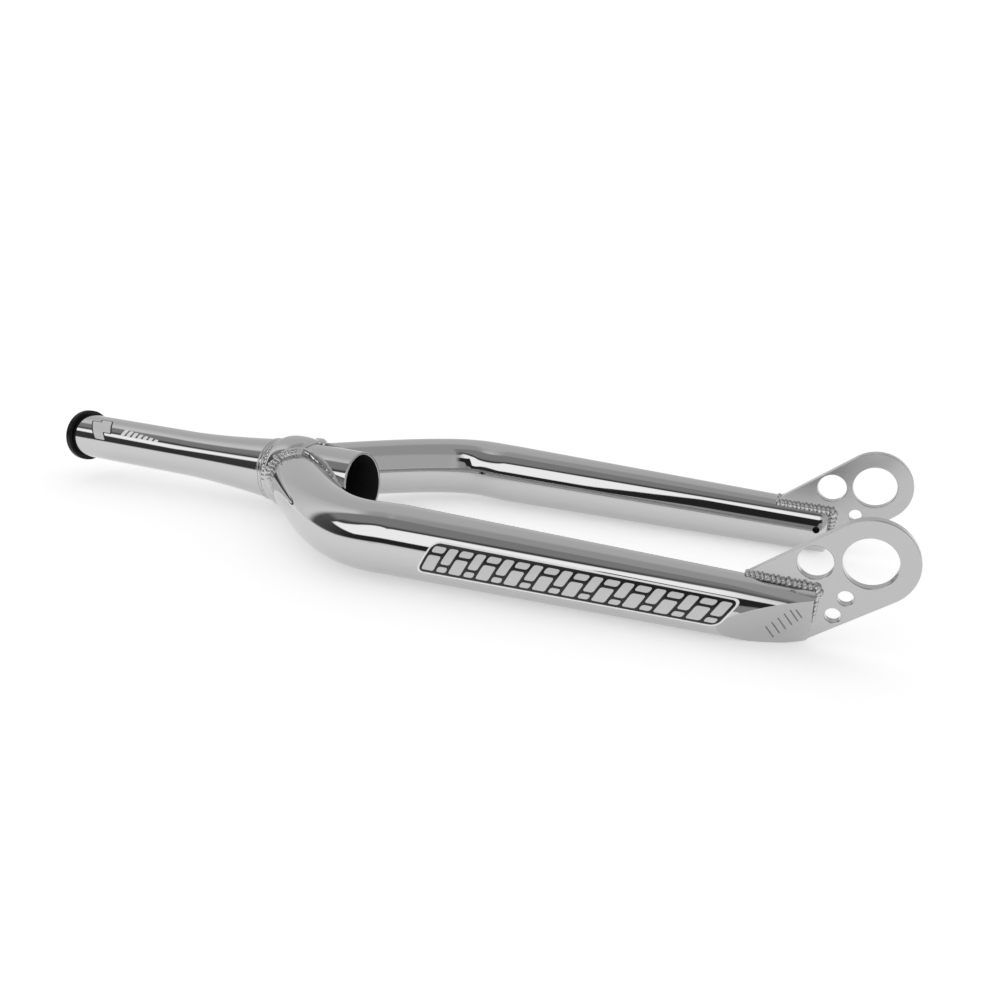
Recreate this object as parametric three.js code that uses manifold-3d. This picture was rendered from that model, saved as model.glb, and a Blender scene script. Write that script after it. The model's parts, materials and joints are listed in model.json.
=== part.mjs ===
// A welded steel BMX race fork, lying on its legs: a tapered steerer tube with a preload cap, two
// bent and tapered leg tubes and two flat dropout plates for a 20 mm axle.
// It is drawn with the steerer along X and the axle centre at the origin, and turned at the end so
// that it rests on its crown race seat and the lower ends of its legs. Millimetres, +Z up.
import * as THREE from 'three';
import { mergeVertices } from 'three/addons/utils/BufferGeometryUtils.js';
import Module from 'manifold-3d';

const wasm = await Module();
wasm.setup();

// ---------------------------------------------------------------- driving dimensions

const clearance = 0.3; // gap between pieces that touch

// Where things are along the fork
const axleToCrown = 320; // axle centre to where the leg axes meet the steerer axis
const axleOffset = 27.5; // axle centre above the steerer axis
const steererAboveCrown = 168; // crown to the top end of the steerer

// Steerer tube
const steererRadius = 14.3; // 1 1/8 inch at the top
const steererWall = 2.2;
const baseRadius = 19.05; // 1 1/2 inch at the bottom
const baseWall = 1.7;
const flareLength = 71; // from 1 1/8 inch to 1 1/2 inch
const flareAboveCrown = 9; // where the flare is finished
const flareCurve = 1.6; // how late the flare opens
const mouthBelowCrown = 48.7; // the open bottom end
const mouthSlant = THREE.MathUtils.degToRad(5);

// Crown race seat
const seatRadius = 22.6;
const seatAboveCrown = 7;
const seatBelowCrown = 13;
const seatLip = 0.4; // height of the seat's edges above the tube

// Legs
const legCrownRadius = 16.3;
const legMainRadius = 17.6; // at the end of the bend
const legTipRadius = 13.25;
const legWall = 1.3;
const crownAngle = THREE.MathUtils.degToRad(44.3); // legs leave the steerer this far forward of square
const bendReach = 114; // crown to the end of the bend, along the fork
const bendLead = 22; // how softly the bend runs into the straight leg
const bendBulge = 16.5; // how far the crown line is carried out past the straight leg
const legSplay = 0.0302; // outward slope of the straight leg towards the crown
const tipBehindAxle = 18;
const tipOutset = 3.9; // leg axis outboard of the dropout's middle at the tip
const ventRadius = 1.8;
const ventBehindTip = 6.3;
const ventAboveAxis = 2.2;

// Dropouts
const hubWidth = 110; // between the inner faces
const dropoutThickness = 4.8;
const lobeRadius = 18;
const axleHoleRadius = 10.4;
const sideHoles = [
  { back: 20.1, down: 3.5, radius: 7.05 },
  { back: 6.8, down: 16.3, radius: 3.1 },
  { back: 10.4, down: 24.7, radius: 3.15 },
];
const tailBack = 46; // where the top edge meets the leg
const tailDown = 13.5;
const heelBack = 19.1; // the lower corner
const heelDown = 37.7;
const tabBack = 42; // the part hidden in the slotted leg
const tabDown = 34.2;

// Leg end closures
const closerThickness = 1.3;
const slashBehindAxle = 49.3; // where the slanted cut leaves the outside of the leg
const slashYaw = THREE.MathUtils.degToRad(23.3);
const slashTilt = THREE.MathUtils.degToRad(24.6);
const innerSlant = THREE.MathUtils.degToRad(12);

// Welds
const crownBead = 3.6;
const seamBead = 2.7;
const seatBead = 1.6;

// Preload cap, bolt and star nut
const capRadius = 16.7;
const capThickness = 4;
const capRim = 1.2; // rounding of the rim
const spigotLength = 6;
const boltRadius = 2.9;
const boltHeadRadius = 5;
const boltHeadHeight = 5;
const boltShankLength = 28;
const socketAcross = 5;
const socketDepth = 3;
const nutRadius = 4.4;
const nutDepth = 14; // from the steerer's top end
const nutLength = 11;
const springThickness = 0.8;
const springPetals = 8;
const springSpacing = 7;

// Printed bands
const decalThickness = 0.2;
const legDecal = { back: 185, front: 50, low: -21, high: 31, lean: 8 };
const steererDecal = { back: 8, front: 72, low: 12, high: 74 };

// How finely round things are divided
const steererSides = 32;
const legSides = 32;
const bendSteps = 16;
const holeSegments = 20;

// ---------------------------------------------------------------- derived places

const crownX = -axleToCrown;
const steererTopX = crownX - steererAboveCrown;
const flareEndX = crownX - flareAboveCrown;
const flareStartX = flareEndX - flareLength;
const mouthX = crownX + mouthBelowCrown;
const axisZ = -axleOffset;
const innerFaceY = -hubWidth / 2;
const outerFaceY = innerFaceY - dropoutThickness;
const tipX = -tipBehindAxle;
const tipY = innerFaceY - dropoutThickness / 2 - tipOutset;
const bendEndX = crownX + bendReach;
const bendEndY = tipY - legSplay * (tipX - bendEndX);
const steererBore = steererRadius - steererWall;

// ---------------------------------------------------------------- materials

const chrome = new THREE.MeshStandardMaterial({ color: '#c8cacb', metalness: 1, roughness: 0.06 });
const weldChrome = new THREE.MeshStandardMaterial({ color: '#b6b8b9', metalness: 1, roughness: 0.2 });
const blackAnodised = new THREE.MeshStandardMaterial({
  color: '#101012',
  metalness: 0.6,
  roughness: 0.35,
});
const zincSteel = new THREE.MeshStandardMaterial({ color: '#9a9da0', metalness: 1, roughness: 0.4 });
const printedFilm = new THREE.MeshStandardMaterial({ color: '#c4c4c4', metalness: 0.2, roughness: 0.4 });

// ---------------------------------------------------------------- solids

// A closed geometry as a manifold-3d solid.
function solidOf(geometry) {
  const plain = new THREE.BufferGeometry();
  const source = geometry.index ? geometry.toNonIndexed() : geometry;
  plain.setAttribute('position', source.getAttribute('position'));
  const merged = mergeVertices(plain, 1e-4);
  return new wasm.Manifold(
    new wasm.Mesh({
      numProp: 3,
      vertProperties: merged.attributes.position.array,
      triVerts: new Uint32Array(merged.index.array),
    })
  );
}

// A solid back as a geometry. Loose crumbs that a cut leaves are dropped: the biggest body is kept.
function geometryOf(solid) {
  const bodies = solid.decompose();
  const biggest = bodies.reduce((a, b) => (b.volume() > a.volume() ? b : a));
  const { vertProperties, triVerts, numProp } = biggest.getMesh();
  const position = new Float32Array((vertProperties.length / numProp) * 3);
  for (let i = 0; i < position.length / 3; i++) {
    position.set(vertProperties.subarray(i * numProp, i * numProp + 3), i * 3);
  }
  const geometry = new THREE.BufferGeometry();
  geometry.setAttribute('position', new THREE.BufferAttribute(position, 3));
  geometry.setIndex(new THREE.BufferAttribute(new Uint32Array(triVerts), 1));
  return geometry;
}

// The same geometry on the other side of the fork's middle plane.
function mirrored(geometry) {
  const flat = geometry.index ? geometry.toNonIndexed() : geometry.clone();
  flat.scale(1, -1, 1);
  const position = flat.getAttribute('position');
  const corner = new THREE.Vector3();
  const other = new THREE.Vector3();
  for (let i = 0; i < position.count; i += 3) {
    corner.fromBufferAttribute(position, i + 1);
    other.fromBufferAttribute(position, i + 2);
    position.setXYZ(i + 1, other.x, other.y, other.z);
    position.setXYZ(i + 2, corner.x, corner.y, corner.z);
  }
  return flat;
}

// A ring or bar turned about the X axis, from a profile of [x, radius] points that runs along the
// outside towards +X and closes on itself or on the axis.
function turned(profile, sides) {
  const points = profile.map(([x, radius]) => new THREE.Vector2(radius, x));
  const geometry = new THREE.LatheGeometry(points, sides);
  geometry.rotateZ(-Math.PI / 2);
  return geometry;
}

// The same, about the steerer axis.
function turnedOnSteerer(profile, sides) {
  return turned(profile, sides).translate(0, 0, axisZ);
}

// A plate: an outline in X and Z with holes, from face y towards the outside of the right leg.
function plate(outline, y, thickness) {
  const geometry = new THREE.ExtrudeGeometry(outline, {
    depth: thickness,
    bevelEnabled: false,
    curveSegments: holeSegments,
  });
  return geometry.rotateX(Math.PI / 2).translate(0, y, 0);
}

// A block that fills the space on the far side of a plane.
function beyondPlane(point, normal) {
  const size = 400; // longer than any piece it cuts
  const block = new THREE.BoxGeometry(size, size, size);
  const turn = new THREE.Quaternion().setFromUnitVectors(new THREE.Vector3(0, 1, 0), normal);
  const centre = normal.clone().multiplyScalar(size / 2).add(point);
  return solidOf(block.applyQuaternion(turn).translate(centre.x, centre.y, centre.z));
}

// A closed bead of round section. ring(angle) gives its middle and the two directions across it.
function closedBead(ring, radius, around, across) {
  const geometry = new THREE.TorusGeometry(2, 1, across, around);
  const position = geometry.getAttribute('position');
  const vertex = new THREE.Vector3();
  for (let i = 0; i < position.count; i++) {
    vertex.fromBufferAttribute(position, i);
    const { middle, first, second } = ring(Math.atan2(vertex.y, vertex.x));
    const outward = Math.hypot(vertex.x, vertex.y) - 2;
    const moved = middle.clone();
    moved.addScaledVector(first, outward * radius);
    moved.addScaledVector(second, vertex.z * radius);
    position.setXYZ(i, moved.x, moved.y, moved.z);
  }
  return geometry;
}

// An open bead of round section along points.
function openBead(points, radius) {
  const section = new THREE.Shape().absarc(0, 0, radius, 0, Math.PI * 2);
  return new THREE.ExtrudeGeometry(section, {
    steps: 20,
    curveSegments: 8,
    bevelEnabled: false,
    extrudePath: new THREE.CatmullRomCurve3(points),
  });
}

// ---------------------------------------------------------------- steerer tube

// Outside radius of the steerer at x: straight, then opening to the base size.
function steererRadiusAt(x) {
  const part = THREE.MathUtils.clamp((x - flareStartX) / flareLength, 0, 1);
  return steererRadius + (baseRadius - steererRadius) * part ** flareCurve;
}

// Wall thickness there, thinning towards the base.
function steererWallAt(x) {
  const part = THREE.MathUtils.clamp((x - flareStartX) / flareLength, 0, 1);
  return THREE.MathUtils.lerp(steererWall, baseWall, part);
}

// Places along the steerer where its profile needs a point.
function steererStations() {
  const flareSteps = 8;
  const stations = [steererTopX];
  for (let i = 0; i <= flareSteps; i++) {
    stations.push(flareStartX + (flareLength * i) / flareSteps);
  }
  stations.push(mouthX + baseRadius);
  return stations;
}

// The steerer's outer shape as a solid bar, grown all over.
function steererBar(grow) {
  const stations = steererStations();
  const outside = stations.map((x) => [x, steererRadiusAt(x) + grow]);
  const profile = [[stations[0], 0], ...outside, [stations.at(-1), 0]];
  return solidOf(turnedOnSteerer(profile, steererSides));
}

function steererTube() {
  const stations = steererStations();
  const outside = stations.map((x) => [x, steererRadiusAt(x)]);
  const inside = stations.map((x) => [x, steererRadiusAt(x) - steererWallAt(x)]).reverse();
  const tube = solidOf(turnedOnSteerer([...outside, ...inside, outside[0]], steererSides));
  const slant = new THREE.Vector3(Math.cos(mouthSlant), 0, Math.sin(mouthSlant));
  return geometryOf(tube.subtract(beyondPlane(new THREE.Vector3(mouthX, 0, axisZ), slant)));
}

// The swelling that the headset's crown race sits on: half an ellipse around the tube.
function seatProfile(grow) {
  const steps = 8;
  const half = (seatAboveCrown + seatBelowCrown) / 2 + grow;
  const middle = crownX + (seatBelowCrown - seatAboveCrown) / 2;
  const edge = baseRadius + clearance + seatLip;
  const points = [];
  for (let i = 0; i <= steps; i++) {
    const angle = Math.PI * (1 - i / steps);
    const height = Math.max(Math.sin(angle), 0) ** 0.7 * (seatRadius - edge);
    points.push([middle + half * Math.cos(angle), edge + height + grow]);
  }
  return points;
}

function crownRaceSeat() {
  const outside = seatProfile(0);
  const bore = baseRadius + clearance;
  const profile = [...outside, [outside.at(-1)[0], bore], [outside[0][0], bore], outside[0]];
  return turnedOnSteerer(profile, steererSides);
}

function seatBar(grow) {
  const outside = seatProfile(grow);
  const profile = [[outside[0][0], 0], ...outside, [outside.at(-1)[0], 0]];
  return solidOf(turnedOnSteerer(profile, steererSides));
}

// ---------------------------------------------------------------- legs (right-hand one, y below 0)

// The leg's centre line: out from the steerer, round the bend and straight to the tip.
function legPath() {
  const start = new THREE.Vector3(crownX, 0, axisZ);
  const out = new THREE.Vector3(Math.sin(crownAngle), -Math.cos(crownAngle), 0);
  const leadOut = (Math.abs(bendEndY) + bendBulge) / Math.cos(crownAngle);
  const end = new THREE.Vector3(bendEndX, bendEndY, axisZ);
  const beforeEnd = new THREE.Vector3(bendEndX - bendLead, bendEndY - legSplay * bendLead, axisZ);
  const path = new THREE.CurvePath();
  path.add(
    new THREE.CubicBezierCurve3(start, start.clone().addScaledVector(out, leadOut), beforeEnd, end)
  );
  path.add(new THREE.LineCurve3(end, new THREE.Vector3(tipX, tipY, axisZ)));
  return path;
}

const centreLine = legPath();
const [bendLength, legLength] = centreLine.getCurveLengths();

// Outside radius at a distance along the leg.
function legRadiusAt(distance) {
  if (distance < bendLength) {
    return THREE.MathUtils.lerp(legCrownRadius, legMainRadius, distance / bendLength);
  }
  const part = (distance - bendLength) / (legLength - bendLength);
  return THREE.MathUtils.lerp(legMainRadius, legTipRadius, part);
}

// Bends a straight bar along X so that its axis follows the leg's centre line.
function bentAlongLeg(geometry) {
  const position = geometry.getAttribute('position');
  const vertex = new THREE.Vector3();
  for (let i = 0; i < position.count; i++) {
    vertex.fromBufferAttribute(position, i);
    const part = THREE.MathUtils.clamp(vertex.x / legLength, 0, 1);
    const middle = centreLine.getPointAt(part);
    const along = centreLine.getTangentAt(part);
    const across = new THREE.Vector3(-along.y, along.x, 0);
    middle.addScaledVector(across, vertex.y);
    position.setXYZ(i, middle.x, middle.y, middle.z + vertex.z);
  }
  return geometry;
}

function legStations() {
  const stations = [];
  for (let i = 0; i < bendSteps; i++) {
    stations.push((bendLength * i) / bendSteps);
  }
  stations.push(bendLength, legLength);
  return stations;
}

// The leg's outer shape as a solid bar, grown all over its side.
function legBar(grow) {
  const stations = legStations();
  const outside = stations.map((s) => [s, legRadiusAt(s) + grow]);
  return solidOf(bentAlongLeg(turned([[0, 0], ...outside, [legLength, 0]], legSides)));
}

function legShell() {
  const stations = legStations();
  const outside = stations.map((s) => [s, legRadiusAt(s)]);
  const inside = stations.map((s) => [s, legRadiusAt(s) - legWall]).reverse();
  return solidOf(bentAlongLeg(turned([...outside, ...inside, outside[0]], legSides)));
}

// The slot in the leg that the dropout's tab goes into.
function dropoutSlot() {
  const top = lobeRadius;
  const outline = new THREE.Shape();
  outline.moveTo(-tailBack - clearance, top);
  outline.lineTo(-tailBack - clearance, -tailDown - tabDown / 3);
  outline.lineTo(-tabBack - clearance, -tabDown - clearance);
  outline.lineTo(-heelBack - clearance, -heelDown - clearance);
  outline.lineTo(0, -heelDown - clearance);
  outline.lineTo(0, top);
  const thickness = dropoutThickness + clearance * 2;
  return solidOf(plate(outline, innerFaceY + clearance, thickness));
}

// The slanted cut across the outside of the leg's end, moved inwards by inset.
function slashCut(inset) {
  const normal = new THREE.Vector3(
    Math.sin(slashYaw) * Math.cos(slashTilt),
    -Math.cos(slashYaw) * Math.cos(slashTilt),
    -Math.sin(slashTilt)
  );
  const fromBend = -slashBehindAxle - bendEndX;
  const distance = bendLength + fromBend / Math.cos(Math.atan(legSplay));
  const axisY = bendEndY + legSplay * fromBend;
  const point = new THREE.Vector3(-slashBehindAxle, axisY - legRadiusAt(distance), axisZ);
  return beyondPlane(point.addScaledVector(normal, -inset), normal);
}

// The slanted cut across the inside of the leg's end.
function innerCut(inset) {
  const normal = new THREE.Vector3(Math.cos(innerSlant), Math.sin(innerSlant), 0);
  const point = new THREE.Vector3(tipX, innerFaceY, axisZ);
  return beyondPlane(point.addScaledVector(normal, -inset), normal);
}

const inboard = beyondPlane(new THREE.Vector3(tipX, innerFaceY, axisZ), new THREE.Vector3(0, 1, 0));
const crownBars = steererBar(clearance).add(seatBar(clearance));

function legTube() {
  const inset = closerThickness + clearance;
  const vent = new THREE.CylinderGeometry(ventRadius, ventRadius, legTipRadius * 1.2, 16);
  vent.translate(tipX - ventBehindTip, innerFaceY + legTipRadius * 0.6, axisZ + ventAboveAxis);
  const tube = legShell()
    .subtract(crownBars)
    .subtract(dropoutSlot())
    .subtract(slashCut(inset))
    .subtract(innerCut(inset).intersect(inboard))
    .subtract(solidOf(vent));
  return geometryOf(tube);
}

// The flat piece that closes the slanted cut on the outside.
function outerCloser() {
  const layer = slashCut(closerThickness).subtract(slashCut(0));
  return geometryOf(layer.intersect(legBar(0)).subtract(dropoutSlot()));
}

// The small piece that closes the leg on the inside of the dropout.
function innerCloser() {
  const layer = innerCut(closerThickness).subtract(innerCut(0));
  const room = slashCut(closerThickness + clearance).add(dropoutSlot());
  return geometryOf(layer.intersect(legBar(0)).intersect(inboard).subtract(room));
}

// ---------------------------------------------------------------- dropouts

// Where a line from a point touches the lobe circle, above or below the axle.
function touchOnLobe(x, z, above) {
  const distance = Math.hypot(x, z);
  const toPoint = Math.atan2(z, x);
  const opening = Math.acos(lobeRadius / distance);
  return toPoint + (above ? -opening : opening);
}

function dropoutOutline() {
  const top = touchOnLobe(-tailBack, -tailDown, true);
  const bottom = touchOnLobe(-heelBack, -heelDown, false);
  const outline = new THREE.Shape();
  outline.absarc(0, 0, lobeRadius, top, bottom, true);
  outline.lineTo(-heelBack, -heelDown);
  outline.lineTo(-tabBack, -tabDown);
  outline.lineTo(-tailBack, -tailDown - tabDown / 3);
  outline.lineTo(-tailBack, -tailDown);
  const round = (x, z, radius) => {
    outline.holes.push(new THREE.Path().absarc(x, z, radius, 0, Math.PI * 2));
  };
  round(0, 0, axleHoleRadius);
  for (const { back, down, radius } of sideHoles) {
    round(-back, -down, radius);
  }
  return outline;
}

function dropout() {
  return plate(dropoutOutline(), innerFaceY, dropoutThickness);
}

// ---------------------------------------------------------------- welds

// The bead round the foot of a leg, where its outside meets the steerer.
function crownWeld() {
  const along = new THREE.Vector3(Math.sin(crownAngle), -Math.cos(crownAngle), 0);
  const sideways = new THREE.Vector3(Math.cos(crownAngle), Math.sin(crownAngle), 0);
  const up = new THREE.Vector3(0, 0, 1);
  const ring = (angle) => {
    const first = new THREE.Vector3();
    first.addScaledVector(sideways, Math.cos(angle)).addScaledVector(up, Math.sin(angle));
    const height = legCrownRadius * Math.sin(angle);
    const reach = Math.sqrt(baseRadius ** 2 - height ** 2);
    const onLeg = legCrownRadius * Math.cos(angle) * Math.sin(crownAngle);
    const distance = (reach + onLeg) / Math.cos(crownAngle);
    const middle = new THREE.Vector3(crownX, 0, axisZ);
    middle.addScaledVector(along, distance).addScaledVector(first, legCrownRadius);
    return { middle, first, second: along };
  };
  const bead = solidOf(closedBead(ring, crownBead, 36, 10));
  return geometryOf(bead.subtract(crownBars).subtract(legBar(clearance)));
}

// The bead round the steerer at the top of the crown race seat.
function seatWeld() {
  const middle = seatProfile(0)[0][0] - seatBead - clearance;
  const points = [];
  const steps = 6;
  for (let i = 0; i <= steps; i++) {
    const angle = Math.PI * (1 - i / steps);
    const radius = baseRadius + clearance + seatLip;
    const height = seatBead * Math.max(Math.sin(angle), 0) * 0.6;
    points.push([middle + seatBead * Math.cos(angle), radius + height]);
  }
  const bore = baseRadius + clearance;
  const start = [points[0][0], bore];
  return turnedOnSteerer([...points, [points.at(-1)[0], bore], start, points[0]], steererSides);
}

// Height of the leg's outside above its axis at x, on a plane at y.
function legTopAt(x, y) {
  const axisY = tipY - legSplay * (tipX - x);
  const part = (x - bendEndX) / (tipX - bendEndX);
  const radius = THREE.MathUtils.lerp(legMainRadius, legTipRadius, part);
  return Math.sqrt(Math.max(radius ** 2 - (y - axisY) ** 2, 0));
}

// A seam along the top of the leg where it meets one face of the dropout, and down round its end.
function dropoutSeam(faceY, downTo) {
  const points = [];
  const steps = 5;
  const startX = -tailBack + seamBead;
  for (let i = 0; i <= steps; i++) {
    const x = THREE.MathUtils.lerp(startX, tipX - 1, i / steps);
    points.push(new THREE.Vector3(x, faceY, axisZ + legTopAt(x, faceY)));
  }
  const endTop = axisZ + legTopAt(tipX, faceY);
  points.push(new THREE.Vector3(tipX + seamBead / 2, faceY, endTop - seamBead));
  points.push(new THREE.Vector3(tipX + seamBead / 2, faceY, (endTop + downTo) / 2));
  points.push(new THREE.Vector3(tipX + seamBead / 2, faceY, downTo));
  return solidOf(openBead(points, seamBead));
}

function dropoutWeld(faceY, downTo) {
  const legEnd = legBar(clearance)
    .subtract(slashCut(-clearance))
    .subtract(innerCut(-clearance).intersect(inboard));
  return geometryOf(dropoutSeam(faceY, downTo).subtract(legEnd).subtract(dropoutSlot()));
}

// ---------------------------------------------------------------- preload cap, bolt, star nut

const capInnerX = steererTopX - clearance;
const capOuterX = capInnerX - capThickness;
const seatFloorX = capOuterX + boltHeadHeight + 0.5;

function preloadCap() {
  const rimSteps = 4;
  const outside = [];
  for (let i = 0; i <= rimSteps; i++) {
    const angle = (Math.PI / 2) * (i / rimSteps);
    const x = capOuterX + capRim * (1 - Math.sin(angle));
    outside.unshift([x, capRadius - capRim * (1 - Math.cos(angle))]);
  }
  outside.sort((a, b) => a[0] - b[0]);
  const spigot = steererBore - clearance;
  const profile = [
    [capOuterX, boltHeadRadius + clearance],
    ...outside,
    [capInnerX, capRadius],
    [capInnerX, spigot],
    [capInnerX + spigotLength, spigot],
    [capInnerX + spigotLength, boltRadius + clearance],
    [seatFloorX, boltRadius + clearance],
    [seatFloorX, boltHeadRadius + clearance],
    [capOuterX, boltHeadRadius + clearance],
  ];
  return turnedOnSteerer(profile, steererSides);
}

function preloadBolt() {
  const headTop = seatFloorX - clearance - boltHeadHeight;
  const headBottom = seatFloorX - clearance;
  const tip = headBottom + boltShankLength;
  const profile = [
    [headTop, 0],
    [headTop, boltHeadRadius - 0.5],
    [headTop + 0.5, boltHeadRadius],
    [headBottom, boltHeadRadius],
    [headBottom, boltRadius],
    [tip - 1, boltRadius],
    [tip, boltRadius - 1],
    [tip, 0],
  ];
  const bolt = solidOf(turnedOnSteerer(profile, 24));
  const socket = new THREE.CylinderGeometry(
    socketAcross / Math.sqrt(3),
    socketAcross / Math.sqrt(3),
    socketDepth * 2,
    6
  );
  socket.rotateZ(Math.PI / 2).translate(headTop, 0, axisZ);
  return geometryOf(bolt.subtract(solidOf(socket)));
}

const nutStartX = steererTopX + nutDepth;

function starNutBarrel() {
  const bore = boltRadius + clearance;
  const profile = [
    [nutStartX, bore],
    [nutStartX, nutRadius],
    [nutStartX + nutLength, nutRadius],
    [nutStartX + nutLength, bore],
    [nutStartX, bore],
  ];
  return turnedOnSteerer(profile, 24);
}

// A sprung star: petals that lean back towards the steerer's top and bite into its bore.
function starNutSpring(x) {
  const reach = steererBore - clearance;
  const root = reach * 0.62;
  const star = new THREE.Shape();
  const step = (Math.PI * 2) / springPetals;
  for (let i = 0; i < springPetals; i++) {
    const middle = i * step;
    star.absarc(0, 0, reach, middle - step * 0.3, middle + step * 0.3, false);
    star.absarc(0, 0, root, middle + step * 0.42, middle + step * 0.58, false);
  }
  const blank = new THREE.ExtrudeGeometry(star, {
    depth: springThickness,
    bevelEnabled: false,
    curveSegments: 3,
  });
  blank.rotateY(Math.PI / 2).translate(x, 0, axisZ);
  const hole = nutRadius + clearance * 1.5;
  const bar = [[x - 1, 0], [x - 1, hole], [x + springThickness + 1, hole], [x + springThickness + 1, 0]];
  return geometryOf(solidOf(blank).subtract(solidOf(turnedOnSteerer(bar, 24))));
}

// ---------------------------------------------------------------- printed bands

// A thin layer just clear of a bar's surface, inside a given space.
function film(bar, space) {
  const outer = bar(clearance + decalThickness);
  return geometryOf(outer.subtract(bar(clearance)).intersect(space));
}

function legDecalBand() {
  const { back, front, low, high, lean } = legDecal;
  const angle = (degrees) => THREE.MathUtils.degToRad(degrees);
  const bottom = (radius) => axisZ + radius * Math.sin(angle(low));
  const top = (radius) => axisZ + radius * Math.sin(angle(high));
  const outline = new THREE.Shape();
  outline.moveTo(-back - lean / 2, bottom(legMainRadius));
  outline.lineTo(-front - lean, bottom(legTipRadius));
  outline.lineTo(-front, top(legTipRadius));
  outline.lineTo(-back + lean / 2, top(legMainRadius));
  const outerHalf = legMainRadius * 3;
  return film(legBar, solidOf(plate(outline, tipY, outerHalf)));
}

function steererDecalBand() {
  const { back, front, low, high } = steererDecal;
  const far = steererRadius * 3;
  const wedge = new THREE.Shape();
  wedge.moveTo(0, 0);
  for (const degrees of [low, (low + high) / 2, high]) {
    const angle = THREE.MathUtils.degToRad(degrees);
    wedge.lineTo(-far * Math.sin(angle), -far * Math.cos(angle));
  }
  const space = new THREE.ExtrudeGeometry(wedge, { depth: front - back, bevelEnabled: false });
  space.rotateY(Math.PI / 2).translate(steererTopX + back, 0, axisZ);
  return film(steererBar, solidOf(space));
}

// ---------------------------------------------------------------- assembly

const fork = new THREE.Group();

function add(name, geometry, material) {
  const mesh = new THREE.Mesh(geometry, material);
  mesh.name = name;
  fork.add(mesh);
}

function addPair(name, geometry, material) {
  add(`right_${name}`, geometry, material);
  add(`left_${name}`, mirrored(geometry), material);
}

add('steerer_tube', steererTube(), chrome);
add('crown_race_seat', crownRaceSeat(), chrome);
add('race_seat_weld', seatWeld(), weldChrome);
addPair('leg_tube', legTube(), chrome);
addPair('leg_outer_closer', outerCloser(), chrome);
addPair('leg_inner_closer', innerCloser(), chrome);
addPair('crown_weld', crownWeld(), weldChrome);
addPair('dropout', dropout(), chrome);
addPair('dropout_outer_weld', dropoutWeld(outerFaceY, axisZ - 2), weldChrome);
addPair('dropout_inner_weld', dropoutWeld(innerFaceY, axisZ - legTipRadius * 0.7), weldChrome);
add('preload_cap', preloadCap(), blackAnodised);
add('preload_bolt', preloadBolt(), zincSteel);
add('star_nut_barrel', starNutBarrel(), zincSteel);
add('star_nut_upper_spring', starNutSpring(nutStartX + 2), zincSteel);
add('star_nut_lower_spring', starNutSpring(nutStartX + 2 + springSpacing), zincSteel);
addPair('leg_decal', legDecalBand(), printedFilm);
add('steerer_decal', steererDecalBand(), printedFilm);

// Corners of the named pieces, as seen from the side.
function cornersOf(names) {
  const corners = [];
  for (const name of names) {
    const position = fork.getObjectByName(name).geometry.getAttribute('position');
    for (let i = 0; i < position.count; i++) {
      corners.push({ x: position.getX(i), z: position.getZ(i) });
    }
  }
  return corners;
}

// The fork lies on the crown race seat and on the lower ends of its legs: the turn that brings
// the line touching both from below onto the ground.
function layDownAngle() {
  const below = ({ z }) => z < axisZ - legTipRadius / 2;
  const seat = cornersOf(['crown_race_seat']).filter(below);
  const legs = cornersOf(['right_leg_tube', 'right_leg_outer_closer']).filter(below);
  const ends = legs.filter(({ x }) => x > bendEndX);
  const slope = (from, to) => Math.atan2(to.z - from.z, to.x - from.x);
  return Math.max(...seat.map((s) => Math.min(...ends.map((e) => slope(s, e)))));
}

// Lay the fork down, with the middle of its footprint at the origin.
fork.rotation.y = layDownAngle();
const lying = new THREE.Group();
lying.add(fork);
lying.updateMatrixWorld(true);
const box = new THREE.Box3().setFromObject(fork, true);
const middle = box.getCenter(new THREE.Vector3());
fork.position.set(-middle.x, -middle.y, -box.min.z);

export default lying;
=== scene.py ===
import json
import math

import bpy
import numpy as np
from bpy.props import FloatProperty, FloatVectorProperty, IntProperty, PointerProperty
from mathutils import Euler, Matrix, Vector
from mathutils.geometry import tessellate_polygon


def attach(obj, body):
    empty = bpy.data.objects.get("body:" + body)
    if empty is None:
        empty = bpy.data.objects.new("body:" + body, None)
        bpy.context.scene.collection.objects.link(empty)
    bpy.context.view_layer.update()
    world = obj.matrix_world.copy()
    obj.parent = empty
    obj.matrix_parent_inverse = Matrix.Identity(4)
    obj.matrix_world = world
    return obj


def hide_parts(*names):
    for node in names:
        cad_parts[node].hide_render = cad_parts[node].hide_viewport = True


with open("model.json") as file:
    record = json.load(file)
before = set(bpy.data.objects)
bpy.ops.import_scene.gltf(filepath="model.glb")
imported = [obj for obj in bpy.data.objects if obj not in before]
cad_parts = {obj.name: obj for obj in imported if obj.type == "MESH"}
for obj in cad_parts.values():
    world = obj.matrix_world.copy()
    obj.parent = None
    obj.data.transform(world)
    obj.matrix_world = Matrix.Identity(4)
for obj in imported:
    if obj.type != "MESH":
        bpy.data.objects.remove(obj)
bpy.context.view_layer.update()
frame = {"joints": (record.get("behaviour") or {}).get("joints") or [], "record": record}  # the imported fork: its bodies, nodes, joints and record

bl_info = {
    "name": "BMX Race Fork",
    "version": (1, 0, 0),
    "blender": (4, 5, 0),
    "location": "View3D > Sidebar > Race Fork",
    "description": "A chrome-plated BMX race fork with its welds, dropouts and preload cap",
    "category": "Add Mesh",
}

# ------------------------------------------------------------------ place and units
#
# Shapes are worked out in metres in the fork's drawing frame: the axle centre is at the origin,
# X runs along the steerer towards the dropouts, Y to the left leg and Z to the fork's front.
# to_row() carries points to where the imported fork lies.

RIGHT, LEFT = -1.0, 1.0
SIDES = (("right", RIGHT), ("left", LEFT))
UP = np.array([0.0, 0.0, 1.0])


def named(rows, name):
    """The row of a packed list that has that name."""
    return next(row for row in rows if row["name"] == name)


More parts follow.
